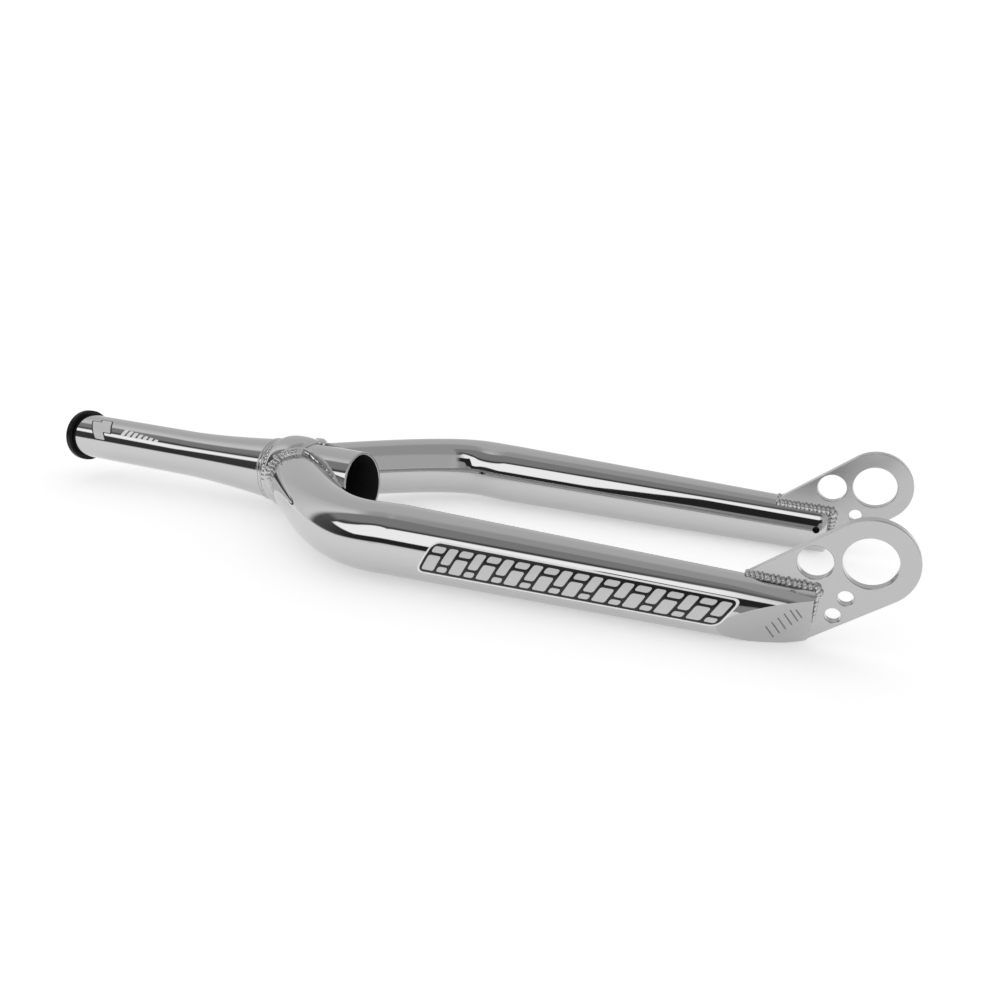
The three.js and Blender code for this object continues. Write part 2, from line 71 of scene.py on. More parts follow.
def face_distance(name):
    """How far a dropout face's packed mount stands from the middle of the fork."""
    return abs(named(frame["record"]["mounts"], name)["pos_m"][1])


def opening_centre(name):
    """The middle of a packed opening's box."""
    low, high = named(frame["record"]["physics"]["openings"], name)["box_m"]
    return (np.array(low) + np.array(high)) / 2


def drawing_to_row():
    """The turn and the shift from the drawing frame to the row frame: the steerer's direction is
    the way the cap lifts, and the axle is midway between the two axle holes."""
    up = named(frame["joints"], "cap_lift")["axis"]
    lean = math.atan2(up[2], -up[0])
    turn = np.array(
        [[math.cos(lean), 0, math.sin(lean)], [0, 1, 0], [-math.sin(lean), 0, math.cos(lean)]]
    )
    axle = (opening_centre("right_axle_hole") + opening_centre("left_axle_hole")) / 2
    return turn, axle


TURN, AXLE = drawing_to_row()
INNER_FACE = face_distance("right_dropout_inner_face")
OUTER_FACE = face_distance("right_dropout_outer_face")
PLATE_MIDDLE = (INNER_FACE + OUTER_FACE) / 2
PLATE_HALF = (OUTER_FACE - INNER_FACE) / 2


def to_row(points):
    """Drawing frame points, as rows of an array, in the row frame."""
    return np.asarray(points) @ TURN.T + AXLE


def linear(hex_colour):
    """An sRGB hex colour as the three linear values that Blender works in."""
    values = [int(hex_colour[i : i + 2], 16) / 255 for i in (1, 3, 5)]
    return [v / 12.92 if v <= 0.04045 else ((v + 0.055) / 1.055) ** 2.4 for v in values]


# ------------------------------------------------------------------ what a user can change


def length(name, description, default):
    """A length in metres."""
    return FloatProperty(
        name=name, description=description, default=default, unit="LENGTH", precision=4, min=0.0
    )


def angle(name, description, degrees):
    """An angle, given in degrees and kept in radians."""
    return FloatProperty(
        name=name, description=description, default=math.radians(degrees), subtype="ANGLE"
    )


def colour(name, description, hex_colour):
    """A colour from an sRGB hex value."""
    return FloatVectorProperty(
        name=name,
        description=description,
        default=linear(hex_colour),
        subtype="COLOR",
        size=3,
        min=0.0,
        max=1.0,
    )


class ForkSizes(bpy.types.PropertyGroup):
    """Sizes of the fork's tubes, plates, welds and fittings."""

    crown: length("Axle to crown", "Axle to where the legs meet the steerer axis", 0.320)
    offset: length("Offset", "Steerer axis behind the axle", 0.0275)
    steerer_length: length("Steerer", "Crown to the steerer's top end", 0.168)
    steerer_radius: length("Steerer radius", "Outside radius at the top", 0.0143)
    steerer_wall: length("Steerer wall", "Wall at the top", 0.0022)
    base_radius: length("Base radius", "Outside radius below the flare", 0.01905)
    base_wall: length("Base wall", "Wall below the flare", 0.0017)
    flare: length("Flare", "Length of the flare", 0.071)
    flare_above: length("Flare above crown", "Crown to the flare's end", 0.009)
    mouth: length("Mouth below crown", "Crown to the open lower end", 0.0487)
    mouth_slant: angle("Mouth slant", "How far the open end is cut off square", 5)
    seat_radius: length("Seat radius", "Outside radius of the crown race seat", 0.0226)
    seat_above: length("Seat above crown", "Crown to the seat's upper edge", 0.007)
    seat_below: length("Seat below crown", "Crown to the seat's lower edge", 0.013)
    leg_foot: length("Leg radius at the crown", "Outside radius where the leg starts", 0.0163)
    leg_main: length("Leg radius", "Outside radius at the end of the bend", 0.0176)
    leg_tip: length("Leg tip radius", "Outside radius at the dropout", 0.01325)
    crown_angle: angle("Crown angle", "Legs leave the steerer this far forward of square", 44.3)
    bend_reach: length("Bend reach", "Crown to the end of the bend, along the fork", 0.114)
    bend_lead: length("Bend lead", "How softly the bend runs into the straight leg", 0.022)
    bend_bulge: length("Bend bulge", "How far the crown line is carried past the leg", 0.0165)
    splay: FloatProperty(
        name="Splay", description="Outward slope of the straight leg", default=0.0302
    )
    tip_back: length("Tip behind axle", "Axle to the leg's end", 0.018)
    tip_outset: length("Tip outset", "Leg axis outboard of the dropout's middle", 0.0039)
    lobe: length("Dropout lobe", "Outside radius round the axle", 0.018)
    axle_hole: length("Axle hole", "Radius of the axle hole", 0.0104)
    plate_edge: length("Plate edge", "Rounding of the dropout's edges", 0.0004)
    slash_back: length("Slash behind axle", "Where the slanted cut leaves the leg", 0.0493)
    slash_yaw: angle("Slash yaw", "Turn of the slanted cut about the upright", 23.3)
    slash_tilt: angle("Slash tilt", "Lean of the slanted cut", 24.6)
    inner_slant: angle("Inner slant", "Turn of the cut on the inside of the leg", 12)
    inner_round: length("Inner rounding", "Rounding of the leg's end on the inside", 0.0035)
    vent: length("Vent", "Radius of the vent hole inside each leg", 0.0018)
    vent_back: length("Vent behind tip", "Leg's end to the vent hole", 0.0063)
    vent_up: length("Vent above axis", "Leg axis to the vent hole", 0.0022)
    crown_bead: length("Crown bead", "Radius of the weld round a leg's foot", 0.0030)
    seam_bead: length("Seam bead", "Radius of the welds along the dropouts", 0.0027)
    seat_bead: length("Seat bead", "Half width of the weld above the race seat", 0.0016)
    cap_radius: length("Cap radius", "Outside radius of the preload cap", 0.0167)
    cap_thickness: length("Cap thickness", "Thickness of the preload cap", 0.004)
    around: IntProperty(
        name="Around", description="Faces round each tube", default=192, min=32, max=512
    )


class ForkFinish(bpy.types.PropertyGroup):
    """Colours of the fork's finishes."""

    chrome: colour("Chrome", "Bright chrome plating", "#C6C6C6")
    plate: colour("Ground plate", "Chrome over ground steel plate", "#BCBCBC")
    weld: colour("Weld", "Chrome over weld beads", "#C9C9C9")
    # Darker than the other chromes: painted shade for the grooves of the stamped strokes.
    stamped: colour("Stamped", "Chrome in stamped strokes", "#7C7C7C")
    black: colour("Black", "Anodised preload cap", "#040404")
    zinc: colour("Zinc", "Zinc-plated bolt and star nut", "#A9ABAE")
    film: colour("Film", "Light face of the transfers", "#C6C6C6")
    outline: colour("Outline", "Dark outline of the transfers", "#050505")
    border: colour("Border", "Pale edge of the transfers", "#E6E6E6")
    # Dark grey: painted shade for the inside of the bores and the vent holes.
    inside: colour("Inside", "Unplated steel inside the tubes", "#4A4A4A")
    floor: colour("Floor", "Pale studio floor", "#EDEDED")


# ------------------------------------------------------------------ meshes


def faces_of_grid(rows, columns, wrap_rows, wrap_columns):
    """Quads between neighbouring rows and columns of a grid of points, row strip by row strip."""
    row = np.arange(rows if wrap_rows else rows - 1)[:, None]
    column = np.arange(columns if wrap_columns else columns - 1)[None, :]
    below = (row + 1) % rows
    beside = (column + 1) % columns
    corners = (
        row * columns + column,
        row * columns + beside,
        below * columns + beside,
        below * columns + column,
    )
    return np.stack([c.ravel() for c in np.broadcast_arrays(*corners)], axis=1)


def volume_of(points, quads):
    """Signed volume inside closed quads: the sum of the corner tetrahedra to their middle."""
    a, b, c, d = (points[quads[:, i]] - points.mean(axis=0) for i in range(4))
    first = np.einsum("ij,ij->i", a, np.cross(b, c)).sum()
    return (first + np.einsum("ij,ij->i", a, np.cross(c, d)).sum()) / 6


class Shape:
    """Points and faces gathered into one mesh, with a finish number for each face. A triangle is
    kept as a quad whose last two corners are the same until the mesh is made. Each way of adding
    to a shape hands the shape back."""

    def __init__(self):
        self.points = []
        self.quads = []
        self.finish = []
        self.count = 0

    def add(self, points, quads, finish=0):
        """Joins closed quads, turned to face outwards. finish is one number or one per face."""
        if volume_of(points, quads) < 0:
            quads = flip(quads)
        self.points.append(points)
        self.quads.append(quads + self.count)
        self.finish.append(np.broadcast_to(np.asarray(finish), (len(quads),)))
        self.count += len(points)
        return self

    def ring(self, grid, finish=0):
        """A grid that joins up with itself in both directions. finish may be one per row."""
        rows, columns, _ = grid.shape
        quads = faces_of_grid(rows, columns, True, True)
        each = np.repeat(np.broadcast_to(np.asarray(finish), (rows,)), columns)
        return self.add(grid.reshape(-1, 3), quads, each)

    def pod(self, grid, finish=0):
        """A grid whose columns join up and whose first and last rows each shrink to one point,
        which every column of that row holds. finish may be one per strip between rows, or one per
        face of each strip."""
        rows, columns, _ = grid.shape
        points = np.vstack([grid[1:-1].reshape(-1, 3), grid[0].mean(axis=0), grid[-1].mean(axis=0)])
        column = np.arange(columns)
        beside = (column + 1) % columns
        last = (rows - 3) * columns
        first_pole, last_pole = len(points) - 2, len(points) - 1
        first = np.stack([np.full(columns, first_pole), beside, column, column], axis=1)
        end = np.full(columns, last_pole)
        final = np.stack([end, last + column, last + beside, last + beside], axis=1)
        quads = np.vstack([first, faces_of_grid(rows - 2, columns, False, True), final])
        each = np.broadcast_to(np.atleast_2d(np.asarray(finish).T).T, (rows - 1, columns))
        return self.add(points, quads, each.ravel())

    def slab(self, top, bottom, finish=0):
        """The space between two grids of the same size, closed round their edges."""
        rows, columns, _ = top.shape
        face = faces_of_grid(rows, columns, False, False)
        number = np.arange(rows * columns).reshape(rows, columns)
        sides = number[0, :-1], number[:-1, -1], number[-1, :0:-1], number[:0:-1, 0]
        edge = np.concatenate(sides)
        following = np.roll(edge, -1)
        other = rows * columns
        rim = np.stack([edge, edge + other, following + other, following], axis=1)
        points = np.vstack([top.reshape(-1, 3), bottom.reshape(-1, 3)])
        return self.add(points, np.vstack([face, (face + other)[:, ::-1], rim]), finish)

    def mesh(self, name):
        """A Blender mesh of the shape, carried to the row frame."""
        made = bpy.data.meshes.new(name)
        faces = [q[:3] if q[2] == q[3] else q for q in np.vstack(self.quads).tolist()]
        made.from_pydata(to_row(np.vstack(self.points)).tolist(), [], faces)
        return made


def flip(quads):
    """The same faces turned over; a triangle's doubled corner stays last."""
    doubled = quads[:, 2] == quads[:, 3]
    turned_over = quads[:, ::-1].copy()
    turned_over[doubled] = quads[doubled][:, [1, 0, 2, 2]]
    return turned_over


def new_piece(name, shape, finishes, body, stands_for=(), crease=30.0):
    """A mesh object at the origin made from a Shape in the drawing frame. Edges sharper than
    crease degrees stay sharp. It rides on a body and takes its finish from a slot."""
    mesh = shape.mesh(name)
    numbers = np.concatenate(shape.finish).astype(np.int32)
    mesh.polygons.foreach_set("use_smooth", np.ones(len(numbers), dtype=bool))
    mesh.polygons.foreach_set("material_index", numbers)
    mesh.set_sharp_from_angle(angle=math.radians(crease))
    mesh.update()
    if mesh.validate():
        raise RuntimeError(f"{name} has faces that Blender had to mend")
    piece = bpy.data.objects.new(name, mesh)
    bpy.context.scene.collection.objects.link(piece)
    for finish in finishes:
        mesh.materials.append(finished(finish))
    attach(piece, body)
    if stands_for:
        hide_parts(*stands_for)
    return piece


def cut_out(piece, cutter_shape, finish):
    """Cuts a Shape's space out of a piece. The wall of the cut takes another finish."""
    mesh = cutter_shape.mesh("cutter")
    mesh.materials.append(finished(finish))
    cutter = bpy.data.objects.new("cutter", mesh)
    bpy.context.scene.collection.objects.link(cutter)
    modifier = piece.modifiers.new("cut", "BOOLEAN")
    modifier.object = cutter
    modifier.operation = "DIFFERENCE"
    modifier.solver = "EXACT"
    modifier.material_mode = "TRANSFER"
    bpy.context.view_layer.update()
    evaluated = piece.evaluated_get(bpy.context.evaluated_depsgraph_get())
    made = bpy.data.meshes.new_from_object(evaluated)
    piece.modifiers.remove(modifier)
    old, piece.data = piece.data, made
    bpy.data.meshes.remove(old)
    bpy.data.objects.remove(cutter)


# ------------------------------------------------------------------ profiles


def rounded(corners, steps=6):
    """A closed outline through corners of (x, radius, rounding): each corner is replaced by an arc
    that touches both of its sides, with one more point just beyond each end of the arc."""
    points = np.array([c[:2] for c in corners])
    outline = []
    for i, (_, _, rounding) in enumerate(corners):
        here = points[i]
        back = points[i - 1] - here
        ahead = points[(i + 1) % len(points)] - here
        back /= np.linalg.norm(back)
        ahead /= np.linalg.norm(ahead)
        half = math.acos(float(np.clip(back @ ahead, -1, 1))) / 2
        if rounding <= 0 or half > math.radians(89.5):
            outline.append(here[None, :])
            continue
        reach = rounding / math.tan(half)
        middle = (back + ahead) / np.linalg.norm(back + ahead) * rounding / math.sin(half)
        start, end = back * reach - middle, ahead * reach - middle
        share = np.linspace(0, 1, steps)[:, None]
        spread = math.pi - 2 * half
        arc = np.sin((1 - share) * spread) * start + np.sin(share * spread) * end
        guard = 0.4 * rounding
        outline.append((here + back * (reach + guard))[None, :])
        outline.append(here + middle + arc / math.sin(spread))
        outline.append((here + ahead * (reach + guard))[None, :])
    return np.vstack(outline)


def filled_in(profile, longest):
    """A closed profile with extra points, so that no step is longer than given."""
    following = np.roll(profile, -1, axis=0)
    steps = np.maximum(np.ceil(np.linalg.norm(following - profile, axis=1) / longest), 1)
    pieces = [
        a + (b - a) * np.arange(n)[:, None] / n
        for a, b, n in zip(profile, following, steps.astype(int))
    ]
    return np.vstack(pieces)


def full_turn(count):
    """Equal angles once round."""
    return np.linspace(0, 2 * math.pi, count, endpoint=False)


def stacked(*parts):
    """X, Y and Z, each an array or a number, as one array of points."""
    return np.stack(np.broadcast_arrays(*parts), axis=-1)


def about_axis(sizes, x, radius, turn):
    """Points about the steerer axis: at x, a radius away from it, turned from its upper side."""
    return stacked(x, radius * np.sin(turn), radius * np.cos(turn) - sizes.offset)


def lathed(sizes, profile, count):
    """A profile of (x, radius) carried round the steerer axis."""
    return about_axis(sizes, profile[:, :1], profile[:, 1:], full_turn(count))


def unit(rows):
    """Each row scaled to a length of one."""
    return rows / np.linalg.norm(rows, axis=1, keepdims=True)


def dimes(along, across, pitch, seed):
    """How a stack of weld ripples swells: for each point, from 0 in the valleys to 1 on the crests.
    The ripples lean back like a stack of coins, and no two are quite alike."""
    number = along / pitch - 0.22 * np.cos(across)
    wander = 0.18 * np.sin(number * 1.7 + seed) + 0.12 * np.sin(number * 2.9 + 2 * seed)
    crest = np.abs(np.sin(math.pi * (number + wander * 0.5)))
    uneven = 0.82 + 0.18 * np.sin(np.floor(number) * 2.4 + seed)
    return np.sqrt(crest) * uneven


def bead_grid(path, ups, radius, pitch, depth, seed, across=20):
    """A weld bead along points: a round section square to the path whose radius, one value or one
    for each point, falls by a share of depth between one ripple and the next."""
    steps = np.diff(path, axis=0)
    along = np.concatenate([[0], np.cumsum(np.linalg.norm(steps, axis=1))])
    tangent = unit(np.gradient(path, axis=0))
    side = unit(np.cross(tangent, ups))
    lift = np.cross(side, tangent)
    turn = full_turn(across)
    swell = dimes(along[:, None], turn[None, :], pitch, seed)
    wide = np.broadcast_to(np.asarray(radius), (len(path),))[:, None]
    reach = (wide * (1 - depth + depth * swell))[..., None]
    cosine, sine = np.cos(turn)[None, :, None], np.sin(turn)[None, :, None]
    return path[:, None, :] + (side[:, None, :] * cosine + lift[:, None, :] * sine) * reach


def ended(grid):
    """An open tube of points closed at both ends: the end rings shrink to their middles."""
    first, last = grid[:1], grid[-1:]
    start, end = first.mean(axis=1, keepdims=True), last.mean(axis=1, keepdims=True)
    shares = (0.85, 0.5)
    starts = [start + (first - start) * s for s in shares[::-1]]
    ends = [end + (last - end) * s for s in shares]
    start_pole = np.broadcast_to(start, first.shape)
    end_pole = np.broadcast_to(end, last.shape)
    return np.vstack([start_pole, *starts, grid, *ends, end_pole])


def mirrored(grid, side):
    """A grid drawn for the right-hand side, or its mirror image on the left."""
    return grid * np.array([1.0, -side, 1.0])


# ------------------------------------------------------------------ the fork's lines


def places(sizes):
    """Places along the fork that follow from its sizes, in the drawing frame."""
    crown_x = -sizes.crown
    flare_end = crown_x - sizes.flare_above
    tip_x = -sizes.tip_back
    tip_y = -PLATE_MIDDLE - sizes.tip_outset
    bend_end = crown_x + sizes.bend_reach
    return {
        "crown": crown_x,
        "top": crown_x - sizes.steerer_length,
        "flare_start": flare_end - sizes.flare,
        "mouth": crown_x + sizes.mouth,
        "tip_x": tip_x,
        "tip_y": tip_y,
        "bend_x": bend_end,
        "bend_y": tip_y - sizes.splay * (tip_x - bend_end),
    }


def steerer_radius_at(sizes, x):
    """Outside radius of the steerer: straight, then opening to the base by a power of the way."""
    flare_curve = 1.6
    part = np.clip((x - places(sizes)["flare_start"]) / sizes.flare, 0, 1)
    return sizes.steerer_radius + (sizes.base_radius - sizes.steerer_radius) * part**flare_curve


def leg_line(sizes):
    """The right leg's centre line: distances along it with points and headings in X and Y. A cubic
    curve runs from the crown at the crown angle into the splay, and a straight line to the tip."""
    at = places(sizes)
    start = np.array([at["crown"], 0.0])
    out = np.array([math.sin(sizes.crown_angle), -math.cos(sizes.crown_angle)])
    lead = (abs(at["bend_y"]) + sizes.bend_bulge) / math.cos(sizes.crown_angle)
    end = np.array([at["bend_x"], at["bend_y"]])
    before = end - sizes.bend_lead * np.array([1.0, sizes.splay])
    pulls = (start, start + out * lead, before, end)
    t = np.linspace(0, 1, 600)[:, None]
    weights = ((1 - t) ** 3, 3 * t * (1 - t) ** 2, 3 * t**2 * (1 - t), t**3)
    bend = sum(w * p for w, p in zip(weights, pulls))
    slopes = (3 * (1 - t) ** 2, 6 * t * (1 - t), 3 * t**2)
    heading = sum(w * (b - a) for w, a, b in zip(slopes, pulls[:-1], pulls[1:]))
    points = np.vstack([bend, [at["tip_x"], at["tip_y"]]])
    heading = unit(np.vstack([heading, heading[-1]]))
    steps = np.linalg.norm(np.diff(points, axis=0), axis=1)
    distance = np.concatenate([[0], np.cumsum(steps)])
    return distance, points, heading


def leg_surface(sizes, distance, turn, lift=0.0):
    """The right leg's surface: the centre line's point at that distance, plus the radius times the
    outboard direction by the turn's cosine and the upward one by its sine."""
    line, points, heading = leg_line(sizes)
    bend_length = line[-2]
    x, y = (np.interp(distance, line, points[:, i]) for i in range(2))
    along_x, along_y = (np.interp(distance, line, heading[:, i]) for i in range(2))
    marks = (0, bend_length, line[-1])
    radius = lift + np.interp(distance, marks, (sizes.leg_foot, sizes.leg_main, sizes.leg_tip))
    out = radius * np.cos(turn)
    z = radius * np.sin(turn) - sizes.offset
    return stacked(x + out * along_y, y - out * along_x, z)


def end_planes(sizes):
    """The three planes that end a right leg, as points and outward normals: square across the tip,
    the slanted cut on the outside and the slanted cut on the inside."""
    at = places(sizes)
    tip = np.array([at["tip_x"], at["tip_y"], -sizes.offset])
    yaw, tilt = sizes.slash_yaw, sizes.slash_tilt
    level = math.cos(tilt)
    slash = np.array([math.sin(yaw) * level, -math.cos(yaw) * level, -math.sin(tilt)])
    line = leg_line(sizes)[0]
    back = line[-1] - (sizes.slash_back - sizes.tip_back) * math.hypot(1, sizes.splay)
    slash_point = leg_surface(sizes, back, 0.0)
    inner = np.array([math.cos(sizes.inner_slant), math.sin(sizes.inner_slant), 0.0])
    inner_point = np.array([at["tip_x"], -INNER_FACE, -sizes.offset])
    return (tip, np.array([1.0, 0, 0])), (slash_point, slash), (inner_point, inner)


def plane_x(plane, y, z):
    """Where a plane stands in X over points of Y and Z."""
    point, normal = plane
    return point[0] - (normal[1] * (y - point[1]) + normal[2] * (z - point[2])) / normal[0]


def foot_distance(sizes, turn, reach_at):
    """How far along the leg each line of its surface comes out of a round shape about the steerer
    axis, given by its radius over X: the last of many distances that is still within it."""
    furthest = 0.075
    distance = np.linspace(0, furthest, 1500)
    points = leg_surface(sizes, distance[:, None], turn[None, :])
    from_axis = np.hypot(points[..., 1], points[..., 2] + sizes.offset)
    within = from_axis < reach_at(points[..., 0])
    return distance[len(distance) - 1 - np.argmax(within[::-1], axis=0)]


SEAT_STEPS = 60


def crown_radius_at(sizes, x):
    """Outside radius of the steerer and its race seat together, over X."""
    swelling_x, swelling_radius = seat_profile(sizes)[:SEAT_STEPS].T
    swelling = np.interp(x, swelling_x, swelling_radius, left=0, right=0)
    return np.maximum(steerer_radius_at(sizes, x), swelling)


def inboard_share(y):
    """0 outboard of a right dropout and 1 inboard of it."""
    return np.clip((y + OUTER_FACE) / (2 * PLATE_HALF), 0, 1)


def tip_distance(sizes, turn):
    """How far along the leg each line of its surface meets the first of the end planes, less the
    rounding on the inside. The lines of the straight taper are straight, so this is where a line
    crosses a plane."""
    total = leg_line(sizes)[0][-1]
    run = 0.05
    end = leg_surface(sizes, total, turn)
    along = (end - leg_surface(sizes, total - run, turn)) / run
    meets = [-((end - point) @ normal) / (along @ normal) for point, normal in end_planes(sizes)]
    return total + np.min(meets, axis=0) - sizes.inner_round * inboard_share(end[..., 1])


def leg_grid(sizes):
    """The whole right leg as a closed pod: its foot on the steerer, its side, and its end on the
    three end planes. Returns the grid and the number of rows before the end."""
    overlap, rows, end_steps, end_crowding = 0.0008, 230, 26, 1.3
    foot_shares = (0.0, 0.3, 0.6, 0.85)
    turn = full_turn(sizes.around)
    reach = sizes.base_radius - overlap
    start = foot_distance(sizes, turn, lambda x: reach)
    end = tip_distance(sizes, turn)
    share = np.linspace(0, 1, rows)[:, None]
    side = leg_surface(sizes, start + (end - start) * share, turn)
    axis_z = -sizes.offset
    foot, middle = side[0], side[0].mean(axis=0)
    foot_rows = []
    for part in foot_shares:
        x = middle[0] + (foot[:, 0] - middle[0]) * part
        z = axis_z + (foot[:, 2] - axis_z) * part
        y = -np.sqrt(np.maximum(reach**2 - (z - axis_z) ** 2, 0))
        foot_rows.append(stacked(x, y, z))
    rim, centre = side[-1], np.array([0, places(sizes)["tip_y"], axis_z])
    end_rows = []
    for part in 1 - np.linspace(0, 1, end_steps)[1:] ** end_crowding:
        y = centre[1] + (rim[:, 1] - centre[1]) * part
        z = centre[2] + (rim[:, 2] - centre[2]) * part
        x = np.min([plane_x(plane, y, z) for plane in end_planes(sizes)], axis=0)
        soft = sizes.inner_round
        near_rim = np.clip((np.hypot(y - centre[1], z - axis_z) - sizes.leg_tip) / soft + 1, 0, 1)
        x -= soft * (1 - np.sqrt(1 - near_rim**2)) * inboard_share(y)
        end_rows.append(stacked(x, y, z))
    return np.stack([*foot_rows, *side, *end_rows]), len(foot_rows) + rows - 1


# ------------------------------------------------------------------ materials


def node(tree, kind, settings=None, **links):
    """Adds a node. settings go to its properties, or by number or name to its inputs; links join
    other nodes' outputs to its inputs by name, with _ for a space."""
    made = tree.nodes.new(kind)
    for key, value in (settings or {}).items():
        if isinstance(key, int):
            made.inputs[key].default_value = value
        elif key in made.inputs:
            made.inputs[key].default_value = value
        else:
            setattr(made, key, value)
    for key, output in links.items():
        spot = int(key[1:]) if key[0] == "i" and key[1:].isdigit() else key.replace("_", " ")
        tree.links.new(output, made.inputs[spot])
    return made


def new_material(name):
    """An empty node material, its tree and its output node."""
    material = bpy.data.materials.new(name)
    material.use_nodes = True
    tree = material.node_tree
    tree.nodes.clear()
    return material, tree, node(tree, "ShaderNodeOutputMaterial")


def noise_at(tree, scale, detail=2.0):
    """Noise over Object coordinates, with scale in features per metre."""
    place = node(tree, "ShaderNodeTexCoord").outputs["Object"]
    settings = {"Scale": scale, "Detail": detail}
    return node(tree, "ShaderNodeTexNoise", settings, Vector=place).outputs[0]


def between(tree, value, low, high):
    """A value from 0 to 1 spread between low and high."""
    settings = {"To Min": low, "To Max": high}
    return node(tree, "ShaderNodeMapRange", settings, Value=value).outputs["Result"]


METAL = {"Metallic": 1.0}
VINYL = {"IOR": 1.5, "Specular IOR Level": 0.5}
DYED_OXIDE = {"IOR": 1.5, "Specular IOR Level": 0.2}
BUFFED, HANDLED = 60, 90  # patches a metre over which a metal's and a coating's gloss wanders
CHROME_PLATE, GROUND_CHROME = "bright_chrome_plate", "chrome_over_ground_plate"
WELD_CHROME, STAMPED_CHROME_PAINTED_SHADE = "chrome_over_weld", "stamped_chrome_painted_shade"
BORE_PAINTED_SHADE, ZINC = "steel_bore_painted_shade", "zinc_plated_steel"
ANODISED, SILVER_VINYL = "black_anodised_aluminium", "silver_grey_vinyl"
BLACK_INK, VINYL_EDGE = "black_ink_on_vinyl", "pale_vinyl_edge"

# For each finish: its colour's name, its kind, its least and most roughness, how that wanders, and
# its surface's ripple as millimetres apart, metres high and levels of detail.
FINISHES = {
    # Decorative chrome over nickel: a mirror, faintly wavy from the polished tube beneath.
    CHROME_PLATE: ("chrome", METAL, (0.03, 0.055), BUFFED, (22.0, 0.00002, 1.0)),
    # Chrome over plate that was ground and not buffed: reflections smear into an even pale grey.
    GROUND_CHROME: ("plate", METAL, (0.16, 0.24), BUFFED, (2.5, 0.000004, 2.0)),
    # Chrome over unfiled weld beads: bright, and broken up by fine scale.
    WELD_CHROME: ("weld", METAL, (0.05, 0.12), BUFFED, (0.9, 0.00006, 2.0)),
    # Chrome in the rough bottom of stamped strokes: darker than the flat round them, which is
    # painted shade for the grooves, as the strokes stand proud of the flat.
    STAMPED_CHROME_PAINTED_SHADE: ("stamped", METAL, (0.25, 0.4), BUFFED, (0.6, 0.00003, 2.0)),
    # Unplated steel inside a tube, coloured dark as painted shade: the bores get little light, and
    # on each vent hole's wall it stands for the dark hollow inside the leg.
    BORE_PAINTED_SHADE: ("inside", METAL, (0.5, 0.7), BUFFED, (1.5, 0.00001, 2.0)),
    # Zinc-plated steel: a soft grey sheen with a fine crystalline grain.
    ZINC: ("zinc", METAL, (0.28, 0.42), BUFFED, (0.5, 0.000006, 2.0)),
    # Black anodised aluminium: a deep black with a satin gloss along its rounded rim.
    ANODISED: ("black", DYED_OXIDE, (0.3, 0.42), HANDLED, (0.6, 0.000005, 2.0)),
    # Silver-grey printed vinyl: even and satin.
    SILVER_VINYL: ("film", VINYL, (0.30, 0.42), HANDLED, (3.0, 0.000003, 2.0)),
    # Black ink on vinyl: glossier than the face round it.
    BLACK_INK: ("outline", VINYL, (0.25, 0.35), HANDLED, (3.0, 0.000003, 2.0)),
    # The vinyl's pale cut edge.
    VINYL_EDGE: ("border", VINYL, (0.30, 0.42), HANDLED, (3.0, 0.000003, 2.0)),
}


def finished(name):
    """The material of a finish, made once and shared by every piece that asks for it."""
    if name in bpy.data.materials:
        return bpy.data.materials[name]
    colour_name, kind, rough, wander, (apart, high, detail) = FINISHES[name]
    base = getattr(bpy.context.scene.fork_finish, colour_name)
    material, tree, output = new_material(name)
    ripple = noise_at(tree, 1000 / apart, detail)
    bump = node(tree, "ShaderNodeBump", {"Strength": 1.0, "Distance": high}, Height=ripple)
    shader = node(
        tree,
        "ShaderNodeBsdfPrincipled",
        {"Base Color": (*base, 1.0), **kind},
        Roughness=between(tree, noise_at(tree, wander), *rough),
        Normal=bump.outputs["Normal"],
    )
    tree.links.new(shader.outputs[0], output.inputs[0])
    return material


# The degrees past which an edge stays sharp, for welds, legs and plates
WELD_CREASE, LEG_CREASE, PLATE_CREASE = 60, 14, 8


# ------------------------------------------------------------------ pieces


def steerer_grid(sizes):
    """The steerer as a closed ring: outside, rounded lip, bore and rounded top. Past the crown its
    points shift along X in step with their height, which slants the open end. Also returns which
    rows belong to the bore."""
    at = places(sizes)
    top, mouth = at["top"], at["mouth"]
    stations = np.linspace(at["flare_start"], at["flare_start"] + sizes.flare, 45)
    outer = steerer_radius_at(sizes, stations)
    share = (stations - stations[0]) / sizes.flare
    inner = outer - (sizes.steerer_wall + (sizes.base_wall - sizes.steerer_wall) * share)
    edge = 0.0005
    corners = [(top, outer[0], edge), *((x, r, 0) for x, r in zip(stations, outer))]
    corners += [(mouth, outer[-1], edge), (mouth, inner[-1], edge)]
    corners += [(x, r, 0) for x, r in zip(stations[::-1], inner[::-1])]
    corners += [(top, inner[0], edge)]
    profile = filled_in(rounded(corners), 0.004)
    grid = lathed(sizes, profile, sizes.around)
    lean_from = at["crown"] + sizes.seat_below
    share = np.clip((grid[..., 0] - lean_from) / (mouth - lean_from), 0, 1)
    grid[..., 0] -= (grid[..., 2] + sizes.offset) * math.tan(sizes.mouth_slant) * share
    limit = steerer_radius_at(sizes, profile[:, 0]) - sizes.base_wall + 0.0001
    return grid, (profile[:, 1] < limit).astype(int)


def seat_profile(sizes):
    """The crown race seat's closed profile: a swelling that is a power of half a sine high, on a
    bore inside the steerer's wall."""
    at = places(sizes)
    start, end = at["crown"] - sizes.seat_above, at["crown"] + sizes.seat_below
    bury = 0.0002
    turn = math.pi * np.linspace(0, 1, SEAT_STEPS)
    x = (start + end) / 2 - (end - start) / 2 * np.cos(turn)
    low = sizes.base_radius - bury
    roundness = 0.7
    radius = low + (sizes.seat_radius - low) * np.maximum(np.sin(turn), 0) ** roundness
    under = np.stack([np.linspace(end, start, 12), np.full(12, low - 2 * bury)], axis=1)
    return np.vstack([np.stack([x, radius], axis=1), under])


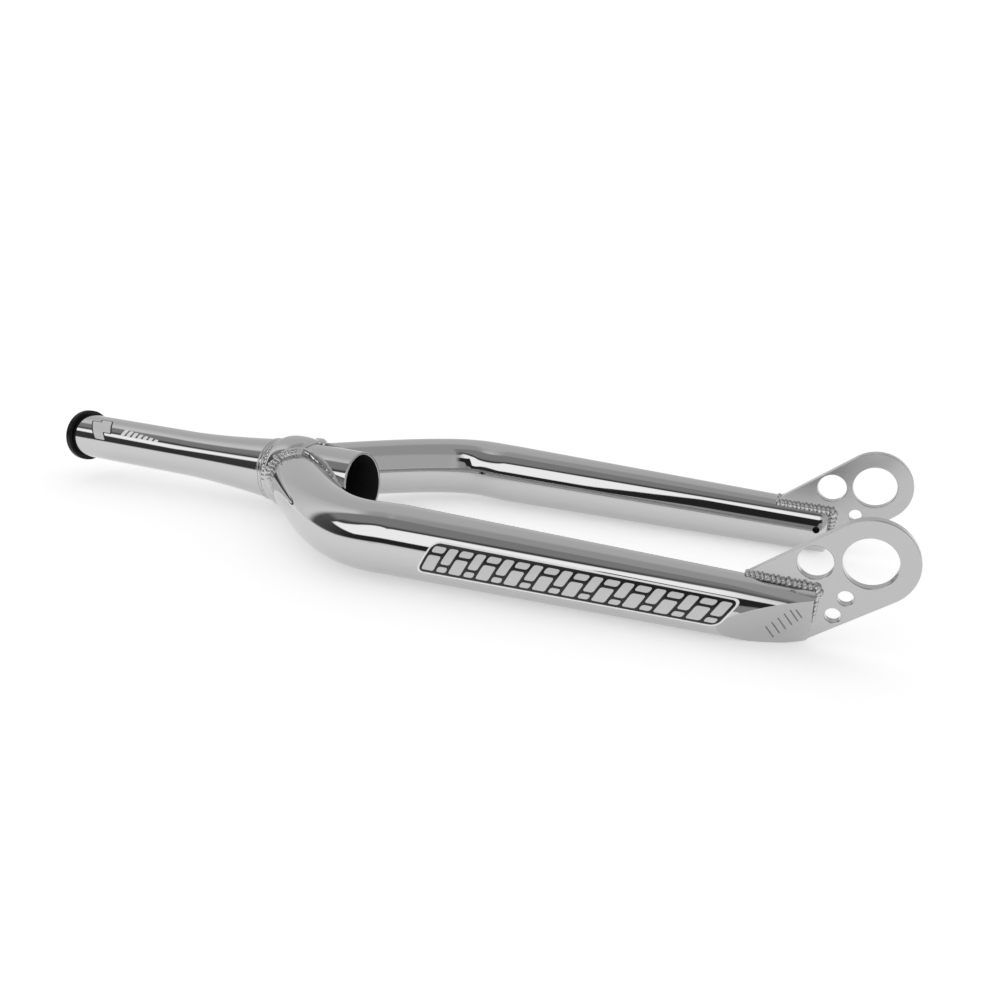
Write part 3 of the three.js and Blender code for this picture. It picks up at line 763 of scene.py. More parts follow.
def seat_ring_grid(sizes, back):
    """A plain low ring round the steerer, a distance back from the race seat."""
    half_width, height, bury = 0.0007, 0.0006, 0.0001
    middle = places(sizes)["crown"] - sizes.seat_above - back
    turn = full_turn(24)
    radius = steerer_radius_at(sizes, middle) - bury + height * np.sin(turn)
    profile = np.stack([middle + half_width * np.cos(turn), radius], axis=1)
    return lathed(sizes, profile, sizes.around)


def seat_weld_grid(sizes):
    """The weld round the steerer above the race seat: a ring of ripples. Round the ring, the
    section's height swells from each valley to each crest by a root of a sine."""
    ripples = 44
    turn, across = full_turn(480), full_turn(18)
    middle = places(sizes)["crown"] - sizes.seat_above - sizes.seat_bead * 0.7
    number = turn[:, None] / (2 * math.pi) * ripples + 0.25 * np.cos(across)
    crest = np.sqrt(np.abs(np.sin(math.pi * number)))
    uneven = 0.85 + 0.15 * np.sin(np.floor(number) * 2.4)
    along = sizes.seat_bead * np.cos(across) * (0.9 + 0.1 * uneven)
    high = sizes.seat_bead * 0.72 * np.sin(across) * (0.55 + 0.45 * crest * uneven)
    return about_axis(sizes, middle + along, sizes.base_radius + high, turn[:, None])


def crown_weld_grid(sizes):
    """The weld round a leg's foot: a closed bead along the line where the leg's side meets the
    steerer. It is a smooth fillet in front and above, a row of lumps on the upper back and a thin
    line below; its points stay clear of the steerer's bore."""
    overlap, bore_cover = 0.0006, 0.001
    turn = full_turn(420)
    sine, cosine = math.sin(sizes.crown_angle), math.cos(sizes.crown_angle)
    heading, sideways = np.array([sine, -cosine, 0]), np.array([cosine, sine, 0])
    spoke = np.cos(turn)[:, None] * sideways + np.sin(turn)[:, None] * UP
    start = foot_distance(sizes, math.pi - turn, lambda x: crown_radius_at(sizes, x) - overlap)
    path = leg_surface(sizes, start, math.pi - turn)
    across = full_turn(24)
    ripples = 46
    number = turn[:, None] / (2 * math.pi) * ripples - 0.3 * np.cos(across)
    crest = np.sqrt(np.abs(np.sin(math.pi * number)))
    uneven = 0.7 + 0.3 * np.sin(np.floor(number) * 2.4 + 1)
    marks = (0, 60, 100, 125, 150, 168, 184, 250, 300, 360)
    sizes_at = (1.1, 1.2, 1.15, 1.3, 1.35, 1, 0.4, 0.3, 0.7, 1.1)
    falls_at = (0.25, 0.08, 0.1, 0.6, 0.7, 0.6, 0.2, 0.1, 0.2, 0.25)
    size, rough = (np.interp(np.degrees(turn), marks, at) for at in (sizes_at, falls_at))
    fall = rough[:, None] * (1 - crest * uneven)
    reach = sizes.crown_bead * size[:, None] * (1 - fall)
    grid = path[:, None, :] + (reach * np.cos(across))[..., None] * spoke[:, None, :]
    grid += (reach * np.sin(across))[..., None] * heading
    x, y, high = grid[..., 0], grid[..., 1], grid[..., 2] + sizes.offset
    depth = np.hypot(y, high)
    out = np.maximum(depth, sizes.base_radius - bore_cover) / depth
    return stacked(x, y * out, high * out - sizes.offset)


def straight_leg(sizes, x):
    """The straight taper's axis in Y and its radius, over X."""
    at = places(sizes)
    part = (x - at["bend_x"]) / (at["tip_x"] - at["bend_x"])
    axis_y = at["tip_y"] - sizes.splay * (at["tip_x"] - x)
    return axis_y, sizes.leg_main + (sizes.leg_tip - sizes.leg_main) * part


def seam_path(sizes, face, down_to):
    """The weld's path along a dropout face: over the leg's top from the plate's tail to the leg's
    end, round a corner and down to a height below the top. The top's height, the leg's radius and
    the face's distance from the leg's axis make a right-angled triangle."""
    past_tail, short_of_tip, corner_radius = 0.0005, 0.0015, 0.0022
    tip_x = places(sizes)["tip_x"]
    top_x = np.linspace(PLATE_TAIL[0] - past_tail, tip_x - short_of_tip, 260)
    axis_y, radius = straight_leg(sizes, top_x)
    top_z = np.sqrt(np.maximum(radius**2 - (-face - axis_y) ** 2, 0)) - sizes.offset
    turn = np.linspace(0, math.pi / 2, 40)[1:]
    bend_x = top_x[-1] + corner_radius * np.sin(turn)
    bend_z = top_z[-1] - corner_radius + corner_radius * np.cos(turn)
    down_z = np.linspace(bend_z[-1], down_to, 160)[1:]
    path_x = np.concatenate([top_x, bend_x, np.full(len(down_z), bend_x[-1])])
    return stacked(path_x, -face, np.concatenate([top_z, bend_z, down_z]))


def seam_grid(sizes, face, down_to, last, seed):
    """A dropout weld along one face: a stack of ripples, closed and rounded at both ends. Below
    the corner it thins to a last share of its width."""
    pitch, depth = 0.0021, 0.5
    path = seam_path(sizes, face, down_to)
    out = np.broadcast_to(np.array([0.0, -1.0, 0.0]), path.shape)
    row = np.arange(len(path))
    marks = (0, 12, 200, 285, 320, len(path) - 1)
    wide = np.interp(row, marks, (0.7, 0.9, 1, 1.1, last, last * 0.4))
    return ended(bead_grid(path, out, sizes.seam_bead * wide, pitch, depth, seed))


# The dropout's drawing, in metres from the axle: its smaller holes, as how far behind and below
# with their radii, and in X and Z its two corners that show and the two hidden in the leg.
PLATE_HOLES = ((0.0201, 0.0035, 0.00705), (0.0068, 0.0163, 0.0031), (0.0104, 0.0247, 0.00315))
PLATE_TAIL = (-0.046, -0.0135)
PLATE_HEEL = (-0.0191, -0.0377)
PLATE_HIDDEN = ((-0.042, -0.0342), (-0.046, -0.0249))


def plate_outline(sizes):
    """The dropout's outline: an arc round the axle between the two lines that touch it from the
    tail and the heel, and the part hidden in the leg. Straight sides get points of their own."""

    def touch(corner, side):
        distance = math.hypot(*corner)
        return math.atan2(corner[1], corner[0]) + side * math.acos(sizes.lobe / distance)

    start = touch(PLATE_TAIL, -1)
    end = touch(PLATE_HEEL, 1)
    start += 2 * math.pi if start < end else 0
    turn = np.linspace(start, end, 200)
    arc = sizes.lobe * np.stack([np.cos(turn), np.sin(turn)], axis=1)
    corners = np.array([PLATE_HEEL, *PLATE_HIDDEN, PLATE_TAIL])
    return filled_in(np.vstack([arc, corners]), 0.003)


def hole_outline(x, z, radius):
    """A round hole's outline."""
    turn = full_turn(128)
    return np.stack([x + radius * np.cos(turn), z + radius * np.sin(turn)], axis=1)


def offset_outline(outline, distance):
    """A closed outline moved to its right by a distance, corner by corner: each point moves along
    the middle of its two sides' normals, further at a sharp corner."""
    back = outline - np.roll(outline, 1, axis=0)
    ahead = np.roll(outline, -1, axis=0) - outline
    first, second = (unit(np.stack([d[:, 1], -d[:, 0]], axis=1)) for d in (back, ahead))
    middle = unit(first + second)
    return outline + middle * distance / np.maximum((middle * first).sum(axis=1), 0.5)[:, None]


def area_of(outline):
    """Area inside a closed outline by the shoelace sum: above 0 if it runs anticlockwise."""
    x, z = outline.T
    return 0.5 * np.sum(x * np.roll(z, -1) - z * np.roll(x, -1))


def flat_face(points, rims, order):
    """Triangles that fill the first outline less the others, all on one plate face. order is 1 to
    turn them anticlockwise in X and Z, and -1 to turn them clockwise."""
    loops = [[Vector((*points[i, [0, 2]], 0)) for i in rim] for rim in rims]
    triangles = np.concatenate(rims)[np.array(tessellate_polygon(loops))]
    a, b, c = (points[triangles[:, i]][:, [0, 2]] for i in range(3))
    over = (b - a)[:, 0] * (c - a)[:, 1] - (b - a)[:, 1] * (c - a)[:, 0]
    wrong = over * order < 0
    triangles[wrong] = triangles[wrong][:, ::-1]
    return np.column_stack([triangles, triangles[:, 2]])


def plate_shape(sizes, side):
    """A dropout: each outline's wall is a strip that rounds into both faces, and the faces are
    flat triangles between the outlines. Outlines run with the metal on their left."""
    outlines = [plate_outline(sizes), hole_outline(0, 0, sizes.axle_hole)]
    outlines += [hole_outline(-back, -down, radius) for back, down, radius in PLATE_HOLES]
    edge = sizes.plate_edge
    turn = np.linspace(0, math.pi / 2, 5)
    near, far = edge * (1 - np.sin(turn)), edge * (1 - np.cos(turn))
    inward = np.concatenate([near, far])
    level = PLATE_MIDDLE + np.concatenate([PLATE_HALF - far, near - PLATE_HALF])
    points, quads, first_rims, last_rims, count = [], [], [], [], 0
    for number, outline in enumerate(outlines):
        metal_left = outline if (area_of(outline) > 0) == (number == 0) else outline[::-1]
        columns = len(metal_left)
        for distance, height in zip(inward, level):
            x, z = offset_outline(metal_left, -distance).T
            points.append(stacked(x, -height, z))
        quads.append(faces_of_grid(len(level), columns, False, True) + count)
        first_rims.append(count + np.arange(columns))
        count += len(level) * columns
        last_rims.append(count - columns + np.arange(columns))
    points = np.vstack(points)
    quads += [flat_face(points, first_rims, 1), flat_face(points, last_rims, -1)]
    return Shape().add(mirrored(points, side), np.vstack(quads))


def cap_profile(sizes):
    """The preload cap's closed profile: a rounded disc, a spigot in the steerer's bore and a
    stepped hole for the bolt."""
    fit, spigot_depth = 0.0003, 0.006
    head, head_depth, shank = 0.0053, 0.0055, 0.0032
    inner = places(sizes)["top"] - fit
    outer = inner - sizes.cap_thickness
    spigot = sizes.steerer_radius - sizes.steerer_wall - fit
    floor, end = outer + head_depth, inner + spigot_depth
    return rounded(
        [
            (outer, head, 0.0004),
            (outer, sizes.cap_radius, 0.0012),
            (inner, sizes.cap_radius, 0.0003),
            (inner, spigot, 0),
            (end, spigot, 0.0005),
            (end, shank, 0.0002),
            (floor, shank, 0.0002),
            (floor, head, 0.0003),
        ]
    )


def bolt_grid(sizes):
    """The preload bolt as a closed pod: socket floor, six-sided socket wall, rounded head, and a
    shank whose radius rises and falls once a pitch along it, a turn behind at each turn round. A
    six-sided row's radius is its half width over the cosine of the turn from the nearest flat."""
    head, shank, tall, long = 0.005, 0.0029, 0.005, 0.028
    half, deep, soft = 0.0025, 0.003, 0.0005
    pitch, thread = 0.001, 0.0003
    bevel = 0.0002
    head_top = places(sizes)["top"] - 0.0041
    under_head = head_top + tall
    end = under_head + long
    turn = full_turn(144)
    six = half / np.cos(np.mod(turn, math.pi / 3) - math.pi / 6)
    floor = head_top + deep
    rows = [(floor, 0), (floor, 0.5 * six), (floor, six), (head_top + deep * 0.5, six)]
    rows += [(head_top + bevel, six), (head_top, six + bevel)]
    for a in np.linspace(math.pi / 2, 0, 6):
        rows.append((head_top + soft * (1 - math.sin(a)), head - soft * (1 - math.cos(a))))
    rows += [(under_head, head), (under_head, shank)]
    for x in np.linspace(under_head + 0.002, end - 0.001, 320):
        rise = np.abs(((x / pitch + turn / (2 * math.pi)) % 1) * 2 - 1)
        rows.append((x, shank - thread + thread * rise))
    rows += [(end, shank - 0.001), (end, 0)]
    x = np.array([row[0] for row in rows])[:, None]
    radius = np.stack([np.broadcast_to(row[1], turn.shape) for row in rows])
    return about_axis(sizes, x, radius, turn)


def spring_grid(sizes, x):
    """A star nut's sprung washer as a closed ring: its outside is a star of petals, and it leans
    back towards the steerer's top as it nears its rim."""
    thick, petals, hole = 0.0008, 8, 0.00485
    reach = sizes.steerer_radius - sizes.steerer_wall - 0.0003
    turn = full_turn(384)
    star = np.clip(np.cos(petals * turn) * 3 + 1.2, 0, 1)
    rim = reach * (0.66 + 0.34 * star)
    share = np.linspace(0, 1, 8)[:, None]
    radius = hole + (rim - hole) * share
    lean = -0.0006 * share**2 * star
    front = about_axis(sizes, x + lean, radius, turn)
    return np.vstack([front, front[::-1] + np.array([thick, 0, 0])])


def on_leg(sizes, x, rise, lift):
    """A point on the outside of the straight leg, at a place along X and an angle above level."""
    axis_y, radius = straight_leg(sizes, x)
    radius = radius + lift
    return stacked(x, axis_y - radius * np.cos(rise), radius * np.sin(rise) - sizes.offset)


def on_steerer(sizes, x, rise, lift):
    """A point on the steerer, at a place along X and an angle above level on its right side."""
    radius = steerer_radius_at(sizes, x) + lift
    return stacked(x, -radius * np.cos(rise), radius * np.sin(rise) - sizes.offset)


def slanted_block(left, right, low, high, lean, corner, across):
    """A flat slanted block as a grid of X and of a share of the band's height: its two ends lean
    over by lean from bottom to top, and its corners pull in along a round of the given size.
    across is the band's height, to measure the corners by."""
    rows = 24
    share = 0.5 - 0.5 * np.cos(np.linspace(0, math.pi, rows))
    height = low + (high - low) * share
    margin = np.minimum(share, 1 - share) * (high - low) * across
    short = np.clip(1 - margin / corner, 0, 1)
    pull = corner * (1 - np.sqrt(1 - short**2))
    columns = max(int((right - left) / 0.004), 3)
    way = np.linspace(0, 1, columns)[None, :]
    start = left + lean * height + pull
    end = right + lean * height - pull
    x = start[:, None] + (end - start)[:, None] * way
    return x, np.broadcast_to(height[:, None], x.shape)


def film(shape, surface, block, low, high, lift, finish):
    """Adds a block of film on a curved surface: a thin slab from just under the metal to a height
    above it. low and high are the band's edges as angles."""
    x, share = block
    rise = low + (high - low) * share
    bury = -0.00005
    shape.slab(surface(x, rise, lift), surface(x, rise, bury), finish)


LEG_BAND_ENDS = (-0.189, -0.0535)
LEG_BAND = (math.radians(-21), math.radians(31))
STEERER_BAND = (math.radians(12), math.radians(74))
BAND_LEAN = 0.008
BOTTOM_FILM, MIDDLE_FILM, TOP_FILM = 0.00006, 0.00010, 0.00014
FACE, OUTLINE, BORDER = 0, 1, 2


def leg_transfer_shape(sizes, side):
    """A leg's transfer: a pale edge, a black band and two rows of plain slanted silver bricks, tall
    above short and short above tall by turns."""
    shape = Shape()
    low, high = LEG_BAND
    left, right = LEG_BAND_ENDS
    edge, line, gap, cells = 0.0009, 0.0014, 0.045, 10
    tall = (high - low) * (sizes.leg_main + sizes.leg_tip) / 2

    def surface(x, rise, lift):
        return mirrored(on_leg(sizes, x, rise, lift), side)

    def block(left, right, bottom, top, corner):
        return slanted_block(left, right, bottom, top, BAND_LEAN, corner, tall)

    outer = block(left - edge, right + edge, -edge / tall, 1 + edge / tall, 0.0035)
    film(shape, surface, outer, low, high, BOTTOM_FILM, BORDER)
    film(shape, surface, block(left, right, 0, 1, 0.0030), low, high, MIDDLE_FILM, OUTLINE)
    bottom, top = line / tall, 1 - line / tall
    pitch = (right - left - line) / cells
    for number in range(cells):
        start = left + line + pitch * number
        middle = start + (pitch - line) / 2
        end = start + pitch - line
        for first, last, split in ((start, middle, 0.66), (middle + line, end, 0.34)):
            for floor, ceiling in ((bottom, split - gap), (split + gap, top)):
                brick = block(first, last, floor, ceiling, 0.0010)
                film(shape, surface, brick, low, high, TOP_FILM, FACE)
    return shape


def steerer_transfer_shape(sizes):
    """The steerer's transfer: two slanted silver blocks with a black outline, and a row of pale
    ticks that shorten towards the flare."""
    shape = Shape()
    low, high = STEERER_BAND
    tall = (high - low) * sizes.steerer_radius
    top = places(sizes)["top"]

    def surface(x, rise, lift):
        return on_steerer(sizes, x, rise, lift)

    def block(start, end, bottom, height, corner, lean):
        left, right = top + start, top + end
        return slanted_block(left, right, bottom, height, lean, corner, tall)

    line = 0.0010
    for start, end, bottom, height, lean in (
        (0.0205, 0.0290, 0.04, 0.80, -0.011),
        (0.0265, 0.0350, 0.36, 0.96, -0.009),
    ):
        whole = block(start - line, end + line, bottom - 0.03, height + 0.03, 0.0012, lean)
        inner = block(start, end, bottom, height, 0.0009, lean)
        film(shape, surface, whole, low, high, 0.00009, OUTLINE)
        film(shape, surface, inner, low, high, 0.00013, FACE)
    for number in range(7):
        start = 0.0385 + 0.0047 * number
        height = 0.62 - 0.035 * number
        tick = block(start, start + 0.0030, 0.34, height + 0.03, 0.0007, 0.006)
        film(shape, surface, tick, low, high, 0.00009, BORDER)
    return shape


# The stamped strokes' ends, in millimetres along the slanted flat and up it from its middle
STROKES = (
    ((-6.4, -2.6), (-1.6, -9.2)),
    ((-4.6, 0.2), (0.2, -6.4)),
    ((-2.8, 3.0), (2.0, -3.6)),
    ((-1.0, 5.8), (3.8, -0.8)),
    ((0.8, 8.2), (5.6, 1.6)),
    ((3.0, 8.6), (6.6, 3.8)),
)


def slash_marks_shape(sizes, side):
    """Plain stamped strokes on the slanted flat at a leg's end: thin parallel bars that stand a
    hair above it."""
    shape = Shape()
    point, normal = end_planes(sizes)[1]
    along = np.cross(normal, UP)
    along *= np.sign(along[0]) / np.linalg.norm(along)
    climb = np.cross(normal, along)
    climb *= np.sign(climb[2])
    middle = np.array([-0.0283, 0.0, -sizes.offset - 0.0019])
    middle[1] = point[1] - (middle - point)[[0, 2]] @ normal[[0, 2]] / normal[1]
    proud, bury, wide = 0.0001, 0.00005, 0.00055
    for stroke in STROKES:
        ends = np.array(stroke) / 1000
        run = ends[1] - ends[0]
        cross = np.array([-run[1], run[0]]) / np.hypot(*run) * wide / 2
        corners = np.stack([ends - cross, ends + cross], axis=1)
        flat = middle + corners[..., :1] * along + corners[..., 1:] * climb
        shape.slab(mirrored(flat + normal * proud, side), mirrored(flat - normal * bury, side))
    return shape


def vent_cutter(sizes, side):
    """A round bar where the vent hole goes into the inside of a leg."""
    at = places(sizes)
    turn = full_turn(48)
    x = at["tip_x"] - sizes.vent_back + sizes.vent * np.cos(turn)
    z = -sizes.offset + sizes.vent_up + sizes.vent * np.sin(turn)
    near, far = at["tip_y"] + sizes.leg_tip * 0.45, at["tip_y"] + sizes.leg_tip * 1.6
    levels = np.array([near, near, near + 0.001, far - 0.001, far, far])[:, None]
    rings = np.stack(np.broadcast_arrays(x, levels, z), axis=-1)
    for pole in (0, -1):
        rings[pole] = rings[pole].mean(axis=0)
    return Shape().pod(mirrored(rings, side))


# ------------------------------------------------------------------ operators


class ForkOperator:
    """What the fork's operators share: they can be undone."""

    bl_options = {"REGISTER", "UNDO"}


class FORK_OT_steerer(ForkOperator, bpy.types.Operator):
    """Adds the tapered steerer tube"""

    bl_idname = "fork.add_steerer"
    bl_label = "Steerer Tube"

    def execute(self, context):
        shape = Shape().ring(*steerer_grid(context.scene.fork_sizes))
        # The bore's dark finish is painted shade inside the tube.
        finishes = [CHROME_PLATE, BORE_PAINTED_SHADE]
        new_piece("tapered_steerer", shape, finishes, "fork", ["steerer_tube"])
        return {"FINISHED"}


class FORK_OT_race_seat(ForkOperator, bpy.types.Operator):
    """Adds the crown race seat and the weld above it"""

    bl_idname = "fork.add_race_seat"
    bl_label = "Crown Race Seat"

    def execute(self, context):
        sizes = context.scene.fork_sizes
        seat = Shape().ring(lathed(sizes, seat_profile(sizes), sizes.around))
        weld = Shape().ring(seat_weld_grid(sizes))
        for back in (0.0040, 0.0062):
            weld.ring(seat_ring_grid(sizes, back))
        nodes = ["crown_race_seat"]
        new_piece("race_seat_swelling", seat, [CHROME_PLATE], "fork", nodes)
        nodes = ["race_seat_weld"]
        new_piece("race_seat_bead", weld, [WELD_CHROME], "fork", nodes, WELD_CREASE)
        return {"FINISHED"}


class FORK_OT_legs(ForkOperator, bpy.types.Operator):
    """Adds the two bent, tapered legs with their closed ends and vent holes"""

    bl_idname = "fork.add_legs"
    bl_label = "Legs"

    def execute(self, context):
        sizes = context.scene.fork_sizes
        grid, side_rows = leg_grid(sizes)
        finishes = [CHROME_PLATE, GROUND_CHROME, BORE_PAINTED_SHADE]
        outboard = np.cos(full_turn(sizes.around)) > -0.3
        ground = (np.arange(len(grid) - 1) >= side_rows)[:, None] & outboard
        for name, side in SIDES:
            shape = Shape().pod(mirrored(grid, side), ground)
            nodes = [f"{name}_{n}" for n in ("leg_tube", "leg_outer_closer", "leg_inner_closer")]
            leg = new_piece(f"{name}_leg", shape, finishes, "fork", nodes, LEG_CREASE)
            # The vent hole's wall takes the dark bore finish: painted shade for the hollow inside
            # the leg, which is solid here.
            cut_out(leg, vent_cutter(sizes, side), BORE_PAINTED_SHADE)
        return {"FINISHED"}


class FORK_OT_crown_welds(ForkOperator, bpy.types.Operator):
    """Adds the weld round the foot of each leg"""

    bl_idname = "fork.add_crown_welds"
    bl_label = "Crown Welds"

    def execute(self, context):
        grid = crown_weld_grid(context.scene.fork_sizes)
        for name, side in SIDES:
            bead, nodes = f"{name}_crown_bead", [f"{name}_crown_weld"]
            shape = Shape().ring(mirrored(grid, side))
            new_piece(bead, shape, [WELD_CHROME], "fork", nodes, WELD_CREASE)
        return {"FINISHED"}


class FORK_OT_dropouts(ForkOperator, bpy.types.Operator):
    """Adds the two drilled dropout plates"""

    bl_idname = "fork.add_dropouts"
    bl_label = "Dropouts"

    def execute(self, context):
        for name, side in SIDES:
            plate, nodes = f"{name}_dropout_plate", [f"{name}_dropout"]
            shape = plate_shape(context.scene.fork_sizes, side)
            new_piece(plate, shape, [GROUND_CHROME], "fork", nodes, PLATE_CREASE)
        return {"FINISHED"}


class FORK_OT_dropout_welds(ForkOperator, bpy.types.Operator):
    """Adds the rippled welds along both faces of each dropout"""

    bl_idname = "fork.add_dropout_welds"
    bl_label = "Dropout Welds"

    def execute(self, context):
        sizes = context.scene.fork_sizes
        seams = (
            ("outer", OUTER_FACE, -sizes.offset - 0.002, 0.45, 1.0),
            ("inner", INNER_FACE, -sizes.offset - sizes.leg_tip * 0.7, 0.8, 2.5),
        )
        for name, side in SIDES:
            for which, *seam in seams:
                weld = f"{name}_dropout_{which}"
                shape = Shape().pod(mirrored(seam_grid(sizes, *seam), side))
                nodes = [f"{weld}_weld"]
                new_piece(f"{weld}_bead", shape, [WELD_CHROME], "fork", nodes, WELD_CREASE)
        return {"FINISHED"}


class FORK_OT_preload(ForkOperator, bpy.types.Operator):
    """Adds the preload cap, its bolt and the star nut in the steerer"""

    bl_idname = "fork.add_preload"
    bl_label = "Cap, Bolt and Star Nut"

    def execute(self, context):
        sizes = context.scene.fork_sizes
        bore, outside, long, soft = 0.0032, 0.0044, 0.011, 0.0003
        start = places(sizes)["top"] + 0.014
        tube = [(start, bore, soft), (start, outside, soft)]
        tube += [(start + long, outside, soft), (start + long, bore, soft)]
        cap = Shape().ring(lathed(sizes, cap_profile(sizes), sizes.around))
        bolt = Shape().pod(bolt_grid(sizes))
        barrel = Shape().ring(lathed(sizes, filled_in(rounded(tube), 0.002), 96))
        new_piece("top_cap", cap, [ANODISED], "cap", ["preload_cap"])
        new_piece("top_cap_bolt", bolt, [ZINC], "bolt", ["preload_bolt"])
        new_piece("star_nut_tube", barrel, [ZINC], "fork", ["star_nut_barrel"])
        for which, x in (("upper", start + 0.002), ("lower", start + 0.009)):
            star = Shape().ring(spring_grid(sizes, x))
            nodes = [f"star_nut_{which}_spring"]
            new_piece(f"star_nut_{which}_star", star, [ZINC], "fork", nodes)
        return {"FINISHED"}


class FORK_OT_transfers(ForkOperator, bpy.types.Operator):
    """Adds the printed transfers on the legs and the steerer"""

    bl_idname = "fork.add_transfers"
    bl_label = "Transfers"

    def execute(self, context):
        sizes = context.scene.fork_sizes
        inks = [SILVER_VINYL, BLACK_INK, VINYL_EDGE]
        for name, side in SIDES:
            shape = leg_transfer_shape(sizes, side)
            new_piece(f"{name}_leg_transfer", shape, inks, "fork", [f"{name}_leg_decal"])
        shape = steerer_transfer_shape(sizes)
        new_piece("steerer_transfer", shape, inks, "fork", ["steerer_decal"])
        return {"FINISHED"}


class FORK_OT_stamps(ForkOperator, bpy.types.Operator):
    """Adds the plain strokes on the slanted flat of each leg"""

    bl_idname = "fork.add_stamps"
    bl_label = "Stamped Strokes"

    def execute(self, context):
        for name, side in SIDES:
            shape = slash_marks_shape(context.scene.fork_sizes, side)
            new_piece(f"{name}_leg_strokes", shape, [STAMPED_CHROME_PAINTED_SHADE], "fork")
        return {"FINISHED"}


# ------------------------------------------------------------------ stage


def floor_material(finish):
    """A studio floor of pale matt card, lit from below as well, so that it stays nearly white and
    the shadows on it are faint."""
    material, tree, output = new_material("pale_matt_card")
    shader = node(
        tree,
        "ShaderNodeBsdfPrincipled",
        {
            "Base Color": (*finish.floor, 1.0),
            "Specular IOR Level": 0.0,
            "Emission Color": (1.0, 1.0, 1.0, 1.0),
            "Emission Strength": 0.36,
        },
        Roughness=between(tree, noise_at(tree, 400), 0.85, 1.0),
    )
    tree.links.new(shader.outputs[0], output.inputs[0])
    return material


def ramp(tree, value, stops, top=2.0):
    """A level up to top that follows a value in degrees from -90 to 90, through pairs of degrees
    and level."""
    share = between(tree, value, 0, 1)
    share.node.inputs["From Min"].default_value = -90
    share.node.inputs["From Max"].default_value = 90
    made = node(tree, "ShaderNodeValToRGB", Fac=share)
    elements = made.color_ramp.elements
    elements.remove(elements[1])
    for index, (degrees, level) in enumerate(stops):
        place = (degrees + 90) / 180
        element = elements[0] if index == 0 else elements.new(place)
        element.position = place
        element.color = (level / top, level / top, level / top, 1)
    return math_node(tree, "MULTIPLY", made.outputs["Color"], top)


def math_node(tree, operation, *values):
    """One step of arithmetic on sockets or numbers."""
    settings, links = {"operation": operation}, {}
    for number, value in enumerate(values):
        if isinstance(value, (int, float)):
            settings[number] = value
        else:
            links[f"i{number}"] = value
    return node(tree, "ShaderNodeMath", settings, **links).outputs[0]


def step(tree, value, edge, soft):
    """0 where a value is well below an edge and 1 where it is well above it."""
    over = math_node(tree, "DIVIDE", math_node(tree, "SUBTRACT", value, edge), soft)
    share = between(tree, over, 0, 1)
    share.node.inputs["From Min"].default_value = -1
    share.node.interpolation_type = "SMOOTHSTEP"
    return share


def mix(tree, share, first, second):
    """first where share is 0 and second where it is 1; each is a socket or a number."""
    settings, links = {}, {"i0": share}
    for number, value in ((2, first), (3, second)):
        if isinstance(value, (int, float)):
            settings[number] = value
        else:
            links[f"i{number}"] = value
    return node(tree, "ShaderNodeMix", settings, **links).outputs[0]


def studio_world():
    """The studio that the chrome mirrors, by direction. On the camera's side a long soft light
    hangs over a black band; both climb as they pass behind the camera, and a dark gap parts the
    light from a grey ceiling. White walls close the left and the back. Only reflections see it:
    the floor and the films are lit evenly."""
    world = bpy.data.worlds.new("studio")
    world.use_nodes = True
    tree = world.node_tree
    tree.nodes.clear()
    direction = node(tree, "ShaderNodeTexCoord").outputs["Generated"]
    split = node(tree, "ShaderNodeSeparateXYZ", Vector=direction)
    x, y, z = (split.outputs[i] for i in range(3))
    degree = 180 / math.pi
    height = math_node(tree, "MULTIPLY", math_node(tree, "ARCSINE", z), degree)
    bearing = math_node(tree, "MULTIPLY", math_node(tree, "ARCTAN2", x, y), degree)
    camera_side = -150.0
    from_camera = math_node(tree, "SUBTRACT", bearing, camera_side)
    turned = math_node(tree, "WRAP", from_camera, 180.0, -180.0)

    def by_bearing(*stops, top=90.0):
        return ramp(tree, turned, stops, top)

    black_low = by_bearing((-42, 34), (-34, 30), (-30, 18), (-20, 14), (-14, 5), (0, 4), (20, 2))
    box_low = by_bearing((-42, 50), (-30, 48), (-19, 48), (-13, 20), (0, 18), (14, 21), (32, 25))
    box_high = by_bearing(
        (-42, 62), (-32, 66), (-21, 62), (-12, 57), (0, 51), (8, 43), (20, 35), (30, 31), (34, 25)
    )
    below = by_bearing((-42, 0.55), (-34, 0.5), (-28, 0.35), (-18, 0.6), (-12, 1.2), top=2.0)
    black = by_bearing((-40, 0.03), (0, 0.03), (12, 0.05), (30, 0.10), (48, 0.14), top=2.0)
    light = by_bearing((-50, 0.5), (-40, 1.2), (-30, 1.8), (30, 1.8), (36, 0.2), top=2.0)
    gap = by_bearing((-40, 0.2), (-22, 0.15), (-12, 0.08), (30, 0.1), (48, 0.16), top=2.0)
    room = mix(tree, step(tree, height, black_low, 2.0), below, black)
    room = mix(tree, step(tree, height, box_low, 1.5), room, light)
    room = mix(tree, step(tree, height, box_high, 2.5), room, gap)
    over_gap = math_node(tree, "ADD", box_high, 10.0)
    room = mix(tree, step(tree, height, over_gap, 5.0), room, 0.38)
    wall_top = ramp(tree, turned, ((-60, 0.75), (0, 1.15), (62, 1.15), (85, 0.8)), 2.0)
    lower_wall = mix(tree, step(tree, height, 4.0, 4.0), 1.1, wall_top)
    walls = mix(tree, step(tree, height, 62.0, 6.0), lower_wall, 0.58)
    away = math_node(tree, "ABSOLUTE", math_node(tree, "SUBTRACT", turned, 3.0))
    lit = mix(tree, step(tree, away, 51.0, 5.0), room, walls)
    rays = node(tree, "ShaderNodeLightPath")
    even, white = 1.0, 1.3
    seen = mix(tree, rays.outputs["Is Glossy Ray"], even, lit)
    final = mix(tree, rays.outputs["Is Camera Ray"], seen, white)
    background = node(tree, "ShaderNodeBackground", Strength=final)
    node(tree, "ShaderNodeOutputWorld", Surface=background.outputs[0])
    return world


